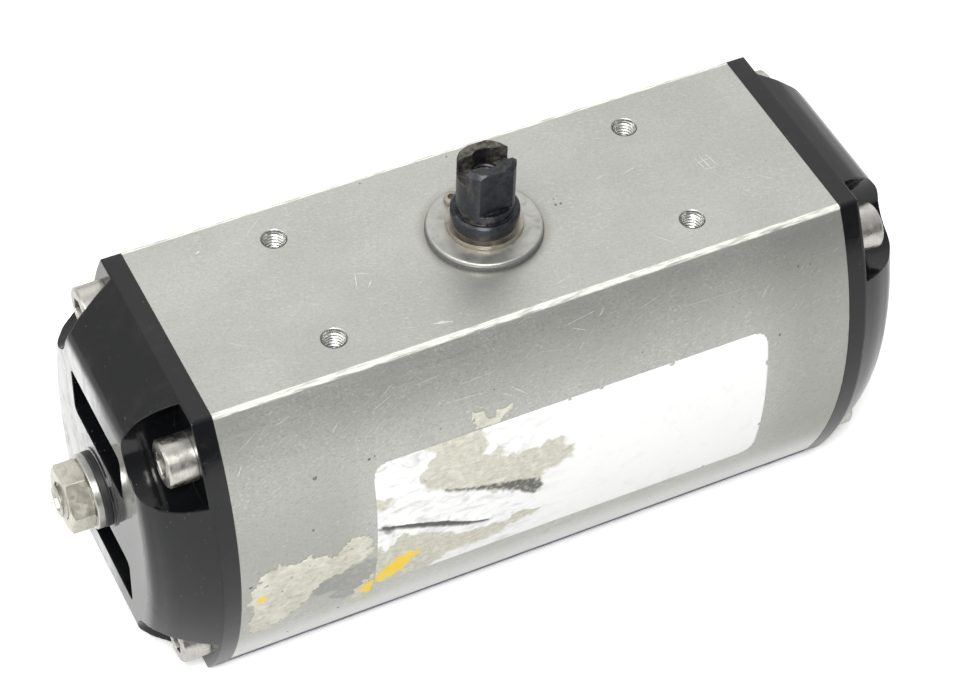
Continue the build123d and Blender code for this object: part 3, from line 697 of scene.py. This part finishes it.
# Outlines as (x, z) points. Places where the film is torn off the label:
TORN = [on_arc(outline) for outline in (
    [(-28.0, 60.0), (-22.54, 60.0), (-18.64, 60.0), (-15.83, 57.07), (-14.61, 55.07),
     (-16.57, 51.93), (-14.65, 51.01), (-12.91, 53.2), (-10.96, 52.66), (-11.79, 50.64),
     (-7.9, 49.32), (-4.05, 48.94), (-1.4, 50.45), (1.15, 48.94), (4.33, 46.72), (3.08, 43.4),
     (0.61, 41.94), (-2.47, 42.57), (-3.27, 36.66), (-8.26, 38.36), (-13.77, 41.09),
     (-18.68, 44.02), (-23.58, 46.03), (-27.92, 47.69), (-29.71, 51.01), (-30.49, 52.38),
     (-27.65, 54.45), (-26.13, 56.38), (-28.44, 57.58)],
    [(-40.51, 36.66), (-37.5, 35.27), (-34.55, 37.58), (-31.45, 36.66), (-26.97, 34.07),
     (-20.22, 31.1), (-13.54, 30.32), (-4.75, 31.35), (-3.53, 29.54), (-8.91, 27.38),
     (-15.42, 25.68), (-23.11, 24.81), (-27.32, 22.38), (-29.0, 20.0), (-43.0, 20.0),
     (-43.0, 36.0)],
    [(-43.0, 50.4), (-40.85, 50.3), (-37.76, 49.89), (-36.74, 48.37), (-39.01, 47.21),
     (-43.0, 47.98)])]
# dark creases: upper, lower, and a short one at the left end of the lower
UPPER_CREASE = on_arc([
    (-25.2, 46.9), (-18.89, 44.62), (-13.73, 43.39), (-8.23, 41.94), (-3.83, 40.56),
    (-2.73, 37.8), (-4.91, 35.97), (-8.04, 38.47), (-12.67, 41.2), (-18.16, 43.6),
    (-25.3, 46.3)])
LOWER_CREASE = on_arc([
    (-39.4, 42.5), (-36.09, 41.51), (-31.46, 40.0), (-25.94, 38.0), (-19.01, 34.27),
    (-14.6, 32.7), (-14.9, 32.2), (-19.75, 33.3), (-27.02, 36.5), (-32.02, 38.6),
    (-36.32, 40.43), (-39.5, 41.7)])
SHORT_CREASE = on_arc([
    (-39.9, 42.9), (-38.2, 42.6), (-36.9, 41.2), (-37.6, 40.0), (-39.2, 40.3), (-39.9, 41.2)])
# a sliver of film left standing, and yellow paint
SLIVER = on_arc([
    (-38.07, 41.94), (-36.76, 41.09), (-36.98, 36.66), (-38.47, 34.07), (-39.17, 35.5)])
RIGHT_PAINT = on_arc([
    (-39.9, 25.9), (-38.6, 27.4), (-35.6, 30.3), (-31.2, 30.9), (-29.9, 29.9), (-32.2, 28.0),
    (-34.0, 24.9), (-37.0, 23.2)])
LEFT_PAINT = on_arc([
    (-43.6, 22.4), (-41.9, 24.3), (-39.3, 25.3), (-37.7, 23.6), (-39.4, 21.4), (-41.6, 19.9)])
PAINT_FLECK = on_arc([(-66.9, 33.2), (-64.6, 33.8), (-64.4, 32.2), (-66.6, 31.8)])
# paper stuck to the metal: left of the label, beside its lower left corner, and above it
LEFT_RESIDUE = on_arc([
    (-67.37, 36.66), (-65.72, 40.02), (-61.29, 41.62), (-57.98, 40.56), (-55.21, 41.62),
    (-51.91, 39.8), (-49.15, 38.7), (-46.02, 42.36), (-42.5, 41.52), (-41.19, 38.92),
    (-40.71, 35.27), (-43.53, 33.1), (-47.91, 31.86), (-52.82, 30.32), (-55.39, 26.54),
    (-58.45, 22.85), (-61.55, 20.12), (-67.05, 19.45), (-68.5, 23.62), (-67.1, 27.93),
    (-68.37, 31.86)])
CORNER_RESIDUE = on_arc([
    (-40.3, 27.65), (-40.3, 18.41), (-41.07, 16.22), (-45.4, 16.97), (-45.79, 20.45),
    (-43.63, 24.81), (-41.6, 27.6)])
TOP_RESIDUE = on_arc([
    (-17.87, 60.18), (-18.14, 62.23), (-15.71, 63.43), (-14.57, 62.87), (-14.47, 60.6),
    (-12.87, 62.39), (-8.43, 62.23), (-9.64, 60.1), (-12.5, 58.9), (-14.46, 58.9),
    (-18.35, 58.9)])


def inside(outline, X, Z):
    """1 where the grid point lies inside the outline, by the even-odd rule."""
    result = np.zeros(X.shape, bool)
    for i, (x0, z0) in enumerate(outline):
        x1, z1 = outline[(i + 1) % len(outline)]
        crosses = (z0 > Z) != (z1 > Z)
        cut = (x1 - x0) * (Z - z0) / (z1 - z0 if z1 != z0 else 1e-9) + x0
        result ^= crosses & (X < cut)
    return result.astype(float)


def blur(grid, times):
    for _ in range(times):
        b = np.pad(grid, 1, mode="edge")
        grid = (b[1:-1, 1:-1] * 4 + b[:-2, 1:-1] * 2 + b[2:, 1:-1] * 2 + b[1:-1, :-2] * 2
                + b[1:-1, 2:] * 2 + b[:-2, :-2] + b[:-2, 2:] + b[2:, :-2] + b[2:, 2:]) / 16
    return grid


def fractal(X, Z, scale, seed, octaves=3):
    out = np.zeros(X.shape)
    for index in np.ndindex(X.shape):
        place = (X[index] * scale, Z[index] * scale, seed)
        out[index] = noise.fractal(place, 0.8, 2.1, octaves)    # roughness, lacunarity
    return out


def sheet_grid(x0, x1, z0, z1):
    step = 0.25
    xs = np.linspace(x0, x1, int((x1 - x0) / step) + 1)
    zs = np.linspace(z0, z1, int((z1 - z0) / step) + 1)
    return np.meshgrid(xs, zs, indexing="ij")


def arc_sheet(name, X, Z, height, keep, attributes):
    """A sheet at a height over the front arc, with vertices only where keep is true."""
    ids = -np.ones(X.shape, int)
    verts, values = [], {key: [] for key in attributes}
    for index in np.ndindex(X.shape):
        if keep[index]:
            ids[index] = len(verts)
            verts.append([c * MM for c in arc_point(X[index], Z[index], height[index])])
            for key, grid in attributes.items():
                values[key].append(float(grid[index]))
    faces = []
    for i, j in np.ndindex(X.shape[0] - 1, X.shape[1] - 1):
        quad = (ids[i, j], ids[i + 1, j], ids[i + 1, j + 1], ids[i, j + 1])
        if min(quad) >= 0:
            faces.append(tuple(int(v) for v in quad))
    obj = new_object(name, verts, faces, MATERIALS["label"], "housing")
    mesh = obj.data
    for key in attributes:
        attribute = mesh.attributes.new(key, "FLOAT", "POINT")
        attribute.data.foreach_set("value", np.array(values[key], np.float32))
    # turn the rim down to the metal so that the sheet has thickness
    bm = bmesh.new()
    bm.from_mesh(mesh)
    rim = [edge for edge in bm.edges if edge.is_boundary]
    for part in bmesh.ops.extrude_edge_only(bm, edges=rim)["geom"]:
        if isinstance(part, bmesh.types.BMVert):
            y, z = part.co.y / MM - ARC_Y, part.co.z / MM - AXIS_Z
            shrink = (ARC_R + 0.005) / math.hypot(y, z)
            part.co.y, part.co.z = (ARC_Y + y * shrink) * MM, (AXIS_Z + z * shrink) * MM
    loose = [vert for vert in bm.verts if not vert.link_faces]
    bmesh.ops.delete(bm, geom=loose, context="VERTS")
    bm.to_mesh(mesh)
    bm.free()
    for polygon in mesh.polygons:
        polygon.use_smooth = True
    return obj


def make_label():
    low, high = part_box("rating_label")
    x0, x1, z0, z1 = low.x * 1000, high.x * 1000, low.z * 1000, high.z * 1000
    X, Z = sheet_grid(x0, x1, z0, z1)
    sway_x, sway_z = fractal(X, Z, 0.35, 1.7), fractal(X, Z, 0.35, 9.3)
    fray_x, fray_z = fractal(X, Z, 1.6, 4.1, 2), fractal(X, Z, 1.6, 6.6, 2)
    pick = fractal(X, Z, 0.9, 21.0)

    def frayed(outline, amount_x, amount_z):
        return inside(outline, X + fray_x * amount_x, Z + fray_z * amount_z)

    # torn areas, with flakes picked out of the film round them
    ragged_x = X + sway_x * 1.3 + fray_x * 0.45
    ragged_z = Z + sway_z * 1.3 + fray_z * 0.45
    torn = np.clip(sum(inside(outline, ragged_x, ragged_z) for outline in TORN), 0, 1)
    torn = np.clip(torn + ((blur(torn, 12) > 0.10) & (pick > 0.55)).astype(float), 0, 1)
    islands = ((pick > 0.62) & (torn > 0)).astype(float) * 0.6
    upper = frayed(UPPER_CREASE, 0.5, 0.4) * (fray_x + pick * 0.7 > -0.42)
    lower = frayed(LOWER_CREASE, 0.25, 0.2)
    short = frayed(SHORT_CREASE, 0.9, 0.9) * (pick > -0.35) * 0.75
    sliver = frayed(SLIVER, 0.3, 0.3)
    paint = np.clip(frayed(RIGHT_PAINT, 0.9, 0.9) + frayed(LEFT_PAINT, 0.7, 0.7), 0, 1)
    # rolled edges beside the creases
    lower_roll = inside([(x + 0.35, z + 0.95) for x, z in LOWER_CREASE], X, Z) * (1 - lower)
    upper_roll = frayed([(x - 0.2, z + 0.8) for x, z in UPPER_CREASE], 0.3, 0.3) * (1 - upper)

    film = np.clip(1 - torn, 0, 1)
    film = np.maximum(np.maximum(film, sliver), lower_roll)
    film = film * (1 - np.clip(upper + lower, 0, 1) * 0.85)
    soft = blur(film, 1)
    edge = blur(film, 4)
    curl = 4 * edge * (1 - edge)
    height = (0.04 + 0.11 * soft + curl * soft * 0.16
              + (1 - soft) * (0.05 * (pick + 0.6)).clip(0, 0.1))
    height = (height + blur(lower_roll, 2) * 0.45 + blur(upper_roll, 2) * 0.30
              + blur(sliver, 2) * 0.35)
    # shallow ripples where the film has come unstuck
    ripple = np.clip(fractal(X, Z, 0.12, 14.0, 2), -0.2, 1)
    height = height + 0.05 * blur(film, 8) * ripple * np.clip((-X + 20) / 50, 0, 1)
    height = np.clip(height, 0.03, 0.9)
    tone = np.clip(islands * 1.4 + (fractal(X, Z, 0.5, 33.0) > 0.35) * 0.5 * torn, 0, 1)

    corner = 3.0
    over_x = np.maximum(np.maximum(x0 + corner - X, X - (x1 - corner)), 0)
    over_z = np.maximum(np.maximum(z0 + corner - Z, Z - (z1 - corner)), 0)
    keep = np.hypot(over_x, over_z) <= corner + 0.02
    # nicks in the label's edge: x, z, radius
    for x, z, radius in ((27.5, z1, 0.55), (11.2, z1, 0.40), (x1, 49.5, 0.45),
                         (38.0, z0, 0.35), (4.0, z1, 0.30), (x1, 30.2, 0.40)):
        keep &= np.hypot(X - x, (Z - z) * 0.9) > radius
    crease = np.clip(blur(np.clip(upper * 0.95 + lower + short, 0, 1), 1), 0, 1)
    obj = arc_sheet("rating_label_torn", X, Z, height, keep,
                    {"film": soft, "paint": blur(paint, 1), "crease": crease, "tone": tone})
    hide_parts("rating_label")


def make_residue(name, outlines, box, seed, paints=()):
    """Paper left on the metal. The box is x0, x1, z0, z1."""
    X, Z = sheet_grid(*box)
    sway_x, sway_z = fractal(X, Z, 0.5, seed), fractal(X, Z, 0.5, seed + 5)
    fray_x, fray_z = fractal(X, Z, 2.2, seed + 1, 2), fractal(X, Z, 2.2, seed + 6, 2)
    ragged_x = X + sway_x * 1.3 + fray_x * 0.45
    ragged_z = Z + sway_z * 1.3 + fray_z * 0.45
    bare = np.zeros(X.shape)
    paper = bare
    for outline in outlines:
        paper = np.maximum(paper, inside(outline, ragged_x, ragged_z))
    pick = fractal(X, Z, 0.8, seed + 11)
    paper = paper * ((pick < 0.80) | (fractal(X, Z, 0.3, seed + 17, 2) < 0.1))
    paint = bare
    for outline in paints:
        paint = np.maximum(paint, inside(outline, X + fray_x * 0.8, Z + fray_z * 0.8))
    paper = np.maximum(paper, paint)
    soft = blur(paper, 2)
    height = 0.02 + 0.10 * soft + np.clip(pick, 0, 0.5) * 0.16 * soft
    tone = np.clip(fractal(X, Z, 0.22, seed + 3, 4) * 0.9 + 0.12
                   + np.clip(pick, -0.5, 0.5) * 0.45, 0, 1)
    arc_sheet(name, X, Z, height, paper > 0.5,
              {"film": bare, "paint": blur(paint, 1), "crease": bare, "tone": blur(tone, 1)})


make_label()
make_residue("label_residue_left", [LEFT_RESIDUE, CORNER_RESIDUE], (-69.2, -39.95, 11.5, 43.0),
             3.0, [LEFT_PAINT, PAINT_FLECK])
make_residue("label_residue_top", [TOP_RESIDUE], (-20.0, -5.0, 57.95, 64.5), 60.0)

# =====================================================================================
# score marks and dirt specks, as thin flakes lying on the metal
# =====================================================================================
FRONT, UPPER = False, True      # a mark lies on the front arc or on the top face
# x, z at the start, x, z at the end, width
FRONT_SCRATCHES = [
    (-47.2, 68.9, -45.6, 70.6, 0.22), (-38.4, 70.5, -33.5, 72.6, 0.12),
    (-36.2, 72.6, -33.2, 74.4, 0.16), (4.0, 74.2, 11.5, 75.2, 0.22),
    (5.5, 73.6, 9.0, 72.0, 0.16), (12.2, 73.8, 13.6, 75.4, 0.28),
    (-9.0, 66.0, -5.4, 63.0, 0.15), (-11.0, 65.2, -8.4, 63.6, 0.12),
    (-67.6, 66.5, -66.2, 68.8, 0.25), (-66.6, 71.5, -62.0, 74.0, 0.12),
    (48.6, 66.6, 50.4, 68.6, 0.14), (50.6, 66.8, 51.6, 68.2, 0.10),
    (-25.0, 67.2, -14.0, 66.6, 0.10), (-20.5, 69.8, -11.0, 70.3, 0.10),
    (28.0, 70.2, 44.0, 69.6, 0.08), (-30.0, 72.6, -22.0, 73.2, 0.10),
    (-58.0, 62.0, -50.0, 63.6, 0.08), (20.0, 72.4, 26.0, 74.0, 0.10),
    (-2.0, 71.0, 3.0, 70.0, 0.10), (-17.4, 64.6, -14.2, 62.8, 0.10)]
# x, y at the start, x, y at the end, width
TOP_SCRATCHES = [
    (-30.5, -5.0, -29.0, -0.6, 0.14), (-29.0, -0.6, -26.4, -1.9, 0.14),
    (-28.4, -5.4, -26.8, -3.6, 0.16), (-20.8, -19.6, -17.0, -21.1, 0.45),
    (49.0, 0.6, 49.6, -3.6, 0.12), (50.2, 1.0, 50.9, -3.9, 0.14),
    (51.6, 0.8, 52.4, -2.8, 0.12), (48.6, -1.0, 52.6, -0.4, 0.10),
    (48.9, -3.0, 51.8, -3.6, 0.10), (27.0, 3.4, 31.0, 4.2, 0.10),
    (33.2, 2.6, 36.4, 3.4, 0.12), (-56.0, 17.6, -55.0, 18.2, 0.3),
    (-44.5, 18.4, -40.0, 22.0, 0.08), (30.6, -16.0, 33.4, -19.6, 0.12),
    (58.2, -9.0, 61.0, -11.5, 0.10), (-62.0, -14.0, -56.0, -15.4, 0.08),
    (-60.0, -7.0, -57.0, -9.6, 0.08), (6.0, -20.0, 11.0, -18.8, 0.08)]
# face, x, z on the front or y on the top, radius
SPECKS = [
    (FRONT, -52.3, 60.8, 0.75), (FRONT, -40.6, 60.8, 0.55), (FRONT, -39.4, 61.1, 0.35),
    (FRONT, -67.9, 37.8, 0.7), (FRONT, 52.2, 56.4, 0.55), (FRONT, 57.6, 70.4, 0.4),
    (FRONT, 60.3, 70.0, 0.4), (FRONT, -53.9, 48.2, 0.55), (FRONT, -58.5, 13.0, 0.45),
    (FRONT, -12.5, 66.5, 0.3), (FRONT, -25.0, 62.0, 0.3), (FRONT, 20.5, 63.5, 0.25),
    (UPPER, 16.4, 0.2, 0.5), (UPPER, 17.5, 0.1, 0.55), (UPPER, 16.7, 1.9, 0.28),
    (FRONT, -47.6, 16.8, 0.6), (FRONT, -21.0, 11.2, 0.25), (UPPER, 2.0, 22.2, 0.4),
    (UPPER, -17.6, 22.4, 0.35)]
FRONT_WIDTH, TOP_WIDTH, SPECK_SIZE = 0.55, 0.8, 0.72    # factors on the tables' sizes
FINE_WIDTH = (0.015, 0.045)                             # range for the fine scratches
# mean and spread of the fine scratches' angles, in radians
TOP_ANGLES = ((-0.42, 0.16), (-0.40, 0.12), (0.1, 0.3), (-1.1, 0.3))
FRONT_ANGLES = ((0.30, 0.10), (0.70, 0.15))


def near_hole(x, y, gap):
    return any(math.hypot(x - hole_x, y - hole_y) < gap for hole_x, hole_y in TOP_HOLES)


def list_scratches(rng):
    """All scratches as (face, start, end, width)."""
    scratches = []
    for x0, z0, x1, z1, width in FRONT_SCRATCHES:
        scratches.append((FRONT, *on_arc([(x0, z0), (x1, z1)]), width * FRONT_WIDTH))
    for x0, y0, x1, y1, width in TOP_SCRATCHES:
        scratches.append((UPPER, (x0, y0), (x1, y1), width * TOP_WIDTH))
    # fine ones on the top face, clear of the washer and the holes
    for _ in range(170):
        x, y = rng.uniform(-66, 66), rng.uniform(-22.4, 22.4)
        if math.hypot(x, y) < 14 or near_hole(x, y, gap=5):
            continue
        length = rng.uniform(0.5, 2.6)
        angle = rng.choice([rng.gauss(*spread) for spread in TOP_ANGLES])
        end = (x + length * math.cos(angle), y + length * math.sin(angle))
        scratches.append((UPPER, (x, y), end, rng.uniform(*FINE_WIDTH)))
    # fine ones on the upper part of the front
    for _ in range(210):
        x, z = rng.uniform(-67, 67), min(76.0, 59.0 + abs(rng.gauss(0, 1)) * 8)
        length = rng.uniform(0.5, 2.6)
        angle = rng.choice([rng.gauss(*spread) for spread in FRONT_ANGLES])
        x1 = min(68.0, x + length * math.cos(angle))
        if x1 - x < 0.3 or (-20 < x < -4 and z < 64):
            continue
        end = (x1, min(76.2, z + length * math.sin(angle)))
        scratches.append((FRONT, (x, z), end, rng.uniform(*FINE_WIDTH)))
    # fine ones on the front at either side of the label
    for _ in range(60):
        x = rng.choice([rng.uniform(-67, -43), rng.uniform(51, 67)])
        z = rng.uniform(12, 60)
        length, angle = rng.uniform(0.5, 2.2), rng.gauss(0.4, 0.3)
        end = (min(68.0, x + length * math.cos(angle)), z + length * math.sin(angle))
        scratches.append((FRONT, (x, z), end, rng.uniform(0.015, 0.035)))
    return scratches


def speck_fits(on_top, x, across):
    """Keep specks off the washer and the holes on the top, and off the label in front."""
    if on_top:
        return math.hypot(x, across) >= 13.5 and not near_hole(x, across, gap=3.6)
    return not (-42 < x < 51.5 and 18 < across < 59.5)


def list_specks(rng):
    """All specks as (face, (x, y or z), radius)."""
    specks = []
    for on_top, x, across, radius in SPECKS:
        place = (x, across) if on_top else on_arc([(x, across)])[0]
        specks.append((on_top, place, radius * SPECK_SIZE))
    for _ in range(55):
        specks.append((UPPER, (rng.uniform(-66, 66), rng.uniform(-22, 22)),
                       rng.uniform(0.04, 0.10)))
        specks.append((FRONT, (rng.uniform(-67, 67), rng.uniform(8, 74)),
                       rng.uniform(0.04, 0.11)))
    return [speck for speck in specks if speck_fits(speck[0], *speck[1])]


def on_face(on_top, x, across, height):
    point = (x, across, TOP + height) if on_top else arc_point(x, across, height)
    return Vector(point) * MM


def make_scratches(scratches):
    """Ragged tapering ribbons with a raised middle line."""
    rng = random.Random(5)
    steps = 14
    verts, faces = [], []
    for on_top, (x0, t0), (x1, t1), width in scratches:
        length = math.hypot(x1 - x0, t1 - t0)
        side_x, side_t = -(t1 - t0) / length, (x1 - x0) / length
        drift = 0.0
        base = len(verts)
        for i in range(steps + 1):
            k = i / steps
            drift += rng.uniform(-1, 1) * width * 0.25
            half = width * (0.12 + math.sin(math.pi * k) ** 0.6) * rng.uniform(0.35, 1.0)
            x = x0 + (x1 - x0) * k + side_x * drift
            t = t0 + (t1 - t0) * k + side_t * drift
            verts.append(on_face(on_top, x + side_x * half, t + side_t * half, 0.008))
            verts.append(on_face(on_top, x, t, 0.02))
            verts.append(on_face(on_top, x - side_x * half, t - side_t * half, 0.008))
        for i in range(steps):
            q = base + i * 3
            faces += [(q, q + 1, q + 4, q + 3), (q + 1, q + 2, q + 5, q + 4)]
    new_object("housing_scratches", verts, faces, MATERIALS["scratch"], "housing")


def make_specks(specks):
    """Low cones with ragged rims."""
    rng = random.Random(6)
    sides = 14
    verts, faces = [], []
    for on_top, (x, t), radius in specks:
        base = len(verts)
        verts.append(on_face(on_top, x, t, 0.06 + radius * 0.06))
        ragged = [rng.uniform(0.45, 1.15) for _ in range(sides)]
        for i in range(sides):
            angle = 2 * math.pi * i / sides
            reach = (ragged[i] + ragged[i - 1]) / 2 * radius
            verts.append(on_face(on_top, x + math.cos(angle) * reach,
                                 t + math.sin(angle) * reach, 0.006))
        for i in range(sides):
            faces.append((base, base + 1 + i, base + 1 + (i + 1) % sides))
    new_object("housing_dirt_specks", verts, faces, MATERIALS["speck"], "housing")


mark_rng = random.Random(11)
make_scratches(list_scratches(mark_rng))
make_specks(list_specks(mark_rng))


# =====================================================================================
# stage
# =====================================================================================
def make_floor():
    """A white floor that shows brighter to the camera than it lights the object."""
    bounce, seen, half = 0.80, 1.25, 4.0
    mesh = bpy.data.meshes.new("floor")
    corners = [(-half, -half, 0), (half, -half, 0), (half, half, 0), (-half, half, 0)]
    mesh.from_pydata(corners, [], [(0, 1, 2, 3)])
    floor = bpy.data.objects.new("floor", mesh)
    bpy.context.scene.collection.objects.link(floor)
    material = bpy.data.materials.new("floor_white")
    material.use_nodes = True
    tree = material.node_tree
    principled = tree.nodes["Principled BSDF"]
    rays = tree.nodes.new("ShaderNodeLightPath")
    mix = tree.nodes.new("ShaderNodeMix")
    mix.data_type = "RGBA"
    tree.links.new(rays.outputs["Is Camera Ray"], mix.inputs[0])
    mix.inputs[6].default_value = (bounce, bounce, bounce, 1)
    mix.inputs[7].default_value = (seen, seen, seen, 1)
    tree.links.new(mix.outputs[2], principled.inputs["Base Color"])
    principled.inputs["Roughness"].default_value = 0.8
    principled.inputs["Specular IOR Level"].default_value = 0.1
    mesh.materials.append(material)
    floor.location.z = -0.0002      # just under the object


def area_light(name, place, target, width, height, power, color):
    """Rectangular light in metres and watts, aimed at the target."""
    light = bpy.data.lights.new(name, "AREA")
    light.energy = power
    light.color = color
    light.shape = "RECTANGLE"
    light.size = width
    light.size_y = height
    light.spread = math.radians(180)
    obj = bpy.data.objects.new(name, light)
    bpy.context.scene.collection.objects.link(obj)
    obj.location = place
    aim = (Vector(target) - Vector(place)).normalized()
    obj.rotation_mode = "QUATERNION"
    obj.rotation_quaternion = aim.to_track_quat("-Z", "Y")


def make_world():
    """White to the camera; as light, dimmer towards the front (-Y) and the horizon."""
    world = bpy.data.worlds.new("studio")
    bpy.context.scene.world = world
    world.use_nodes = True
    nodes, link = world.node_tree.nodes, world.node_tree.links.new
    nodes.clear()
    output = nodes.new("ShaderNodeOutputWorld")
    lighting = nodes.new("ShaderNodeBackground")
    backdrop = nodes.new("ShaderNodeBackground")
    mix = nodes.new("ShaderNodeMixShader")
    rays = nodes.new("ShaderNodeLightPath")
    split = nodes.new("ShaderNodeSeparateXYZ")
    product = nodes.new("ShaderNodeMath")
    product.operation = "MULTIPLY"
    link(nodes.new("ShaderNodeTexCoord").outputs["Generated"], split.inputs[0])
    # axis of the direction, its range, and the strengths it gives
    ramps = ((1, (-0.9, 0.3), (0.25, 0.95)), (2, (0.0, 0.9), (0.65, 0.95)))
    for factor, (axis, over, to) in enumerate(ramps):
        ramp = nodes.new("ShaderNodeMapRange")
        link(split.outputs[axis], ramp.inputs[0])
        for index, value in enumerate((*over, *to), start=1):
            ramp.inputs[index].default_value = value
        link(ramp.outputs[0], product.inputs[factor])
    link(product.outputs[0], lighting.inputs["Strength"])
    lighting.inputs["Color"].default_value = (1, 1, 1, 1)
    backdrop.inputs["Color"].default_value = (1, 1, 1, 1)
    backdrop.inputs["Strength"].default_value = 1.0
    link(rays.outputs["Is Camera Ray"], mix.inputs[0])
    link(lighting.outputs[0], mix.inputs[1])
    link(backdrop.outputs[0], mix.inputs[2])
    link(mix.outputs[0], output.inputs[0])


def make_camera():
    """Long lens from the front left, looking down."""
    camera = bpy.data.cameras.new("camera")
    camera.sensor_width = 36.0
    camera.lens = 112.48
    camera.clip_start, camera.clip_end = 0.02, 20
    obj = bpy.data.objects.new("camera", camera)
    bpy.context.scene.collection.objects.link(obj)
    turn = Matrix(((0.90030, 0.30535, -0.31021),
                   (-0.43459, 0.67075, -0.60102),
                   (0.02455, 0.67591, 0.73657)))
    obj.matrix_world = Matrix.Translation((-0.1971, -0.3813, 0.5090)) @ turn.to_4x4()
    bpy.context.scene.camera = obj


make_floor()
area_light("key", place=(-0.33, -0.58, 0.95), target=(0, 0, 0.04), width=0.45, height=0.45,
           power=11.0, color=(1.0, 1.0, 0.99))
area_light("back", place=(0.25, 0.9, 0.9), target=(0, 0, 0.06), width=1.4, height=1.0,
           power=1.2, color=(1.0, 1.0, 0.985))
area_light("fill_left", place=(-1.0, 0.0, 0.7), target=(0, 0, 0.04), width=0.7, height=0.7,
           power=3.0, color=(1, 1, 1))
make_world()
view = bpy.context.scene.view_settings
view.view_transform = "Standard"
view.look = "None"
view.exposure = 0.0
make_camera()
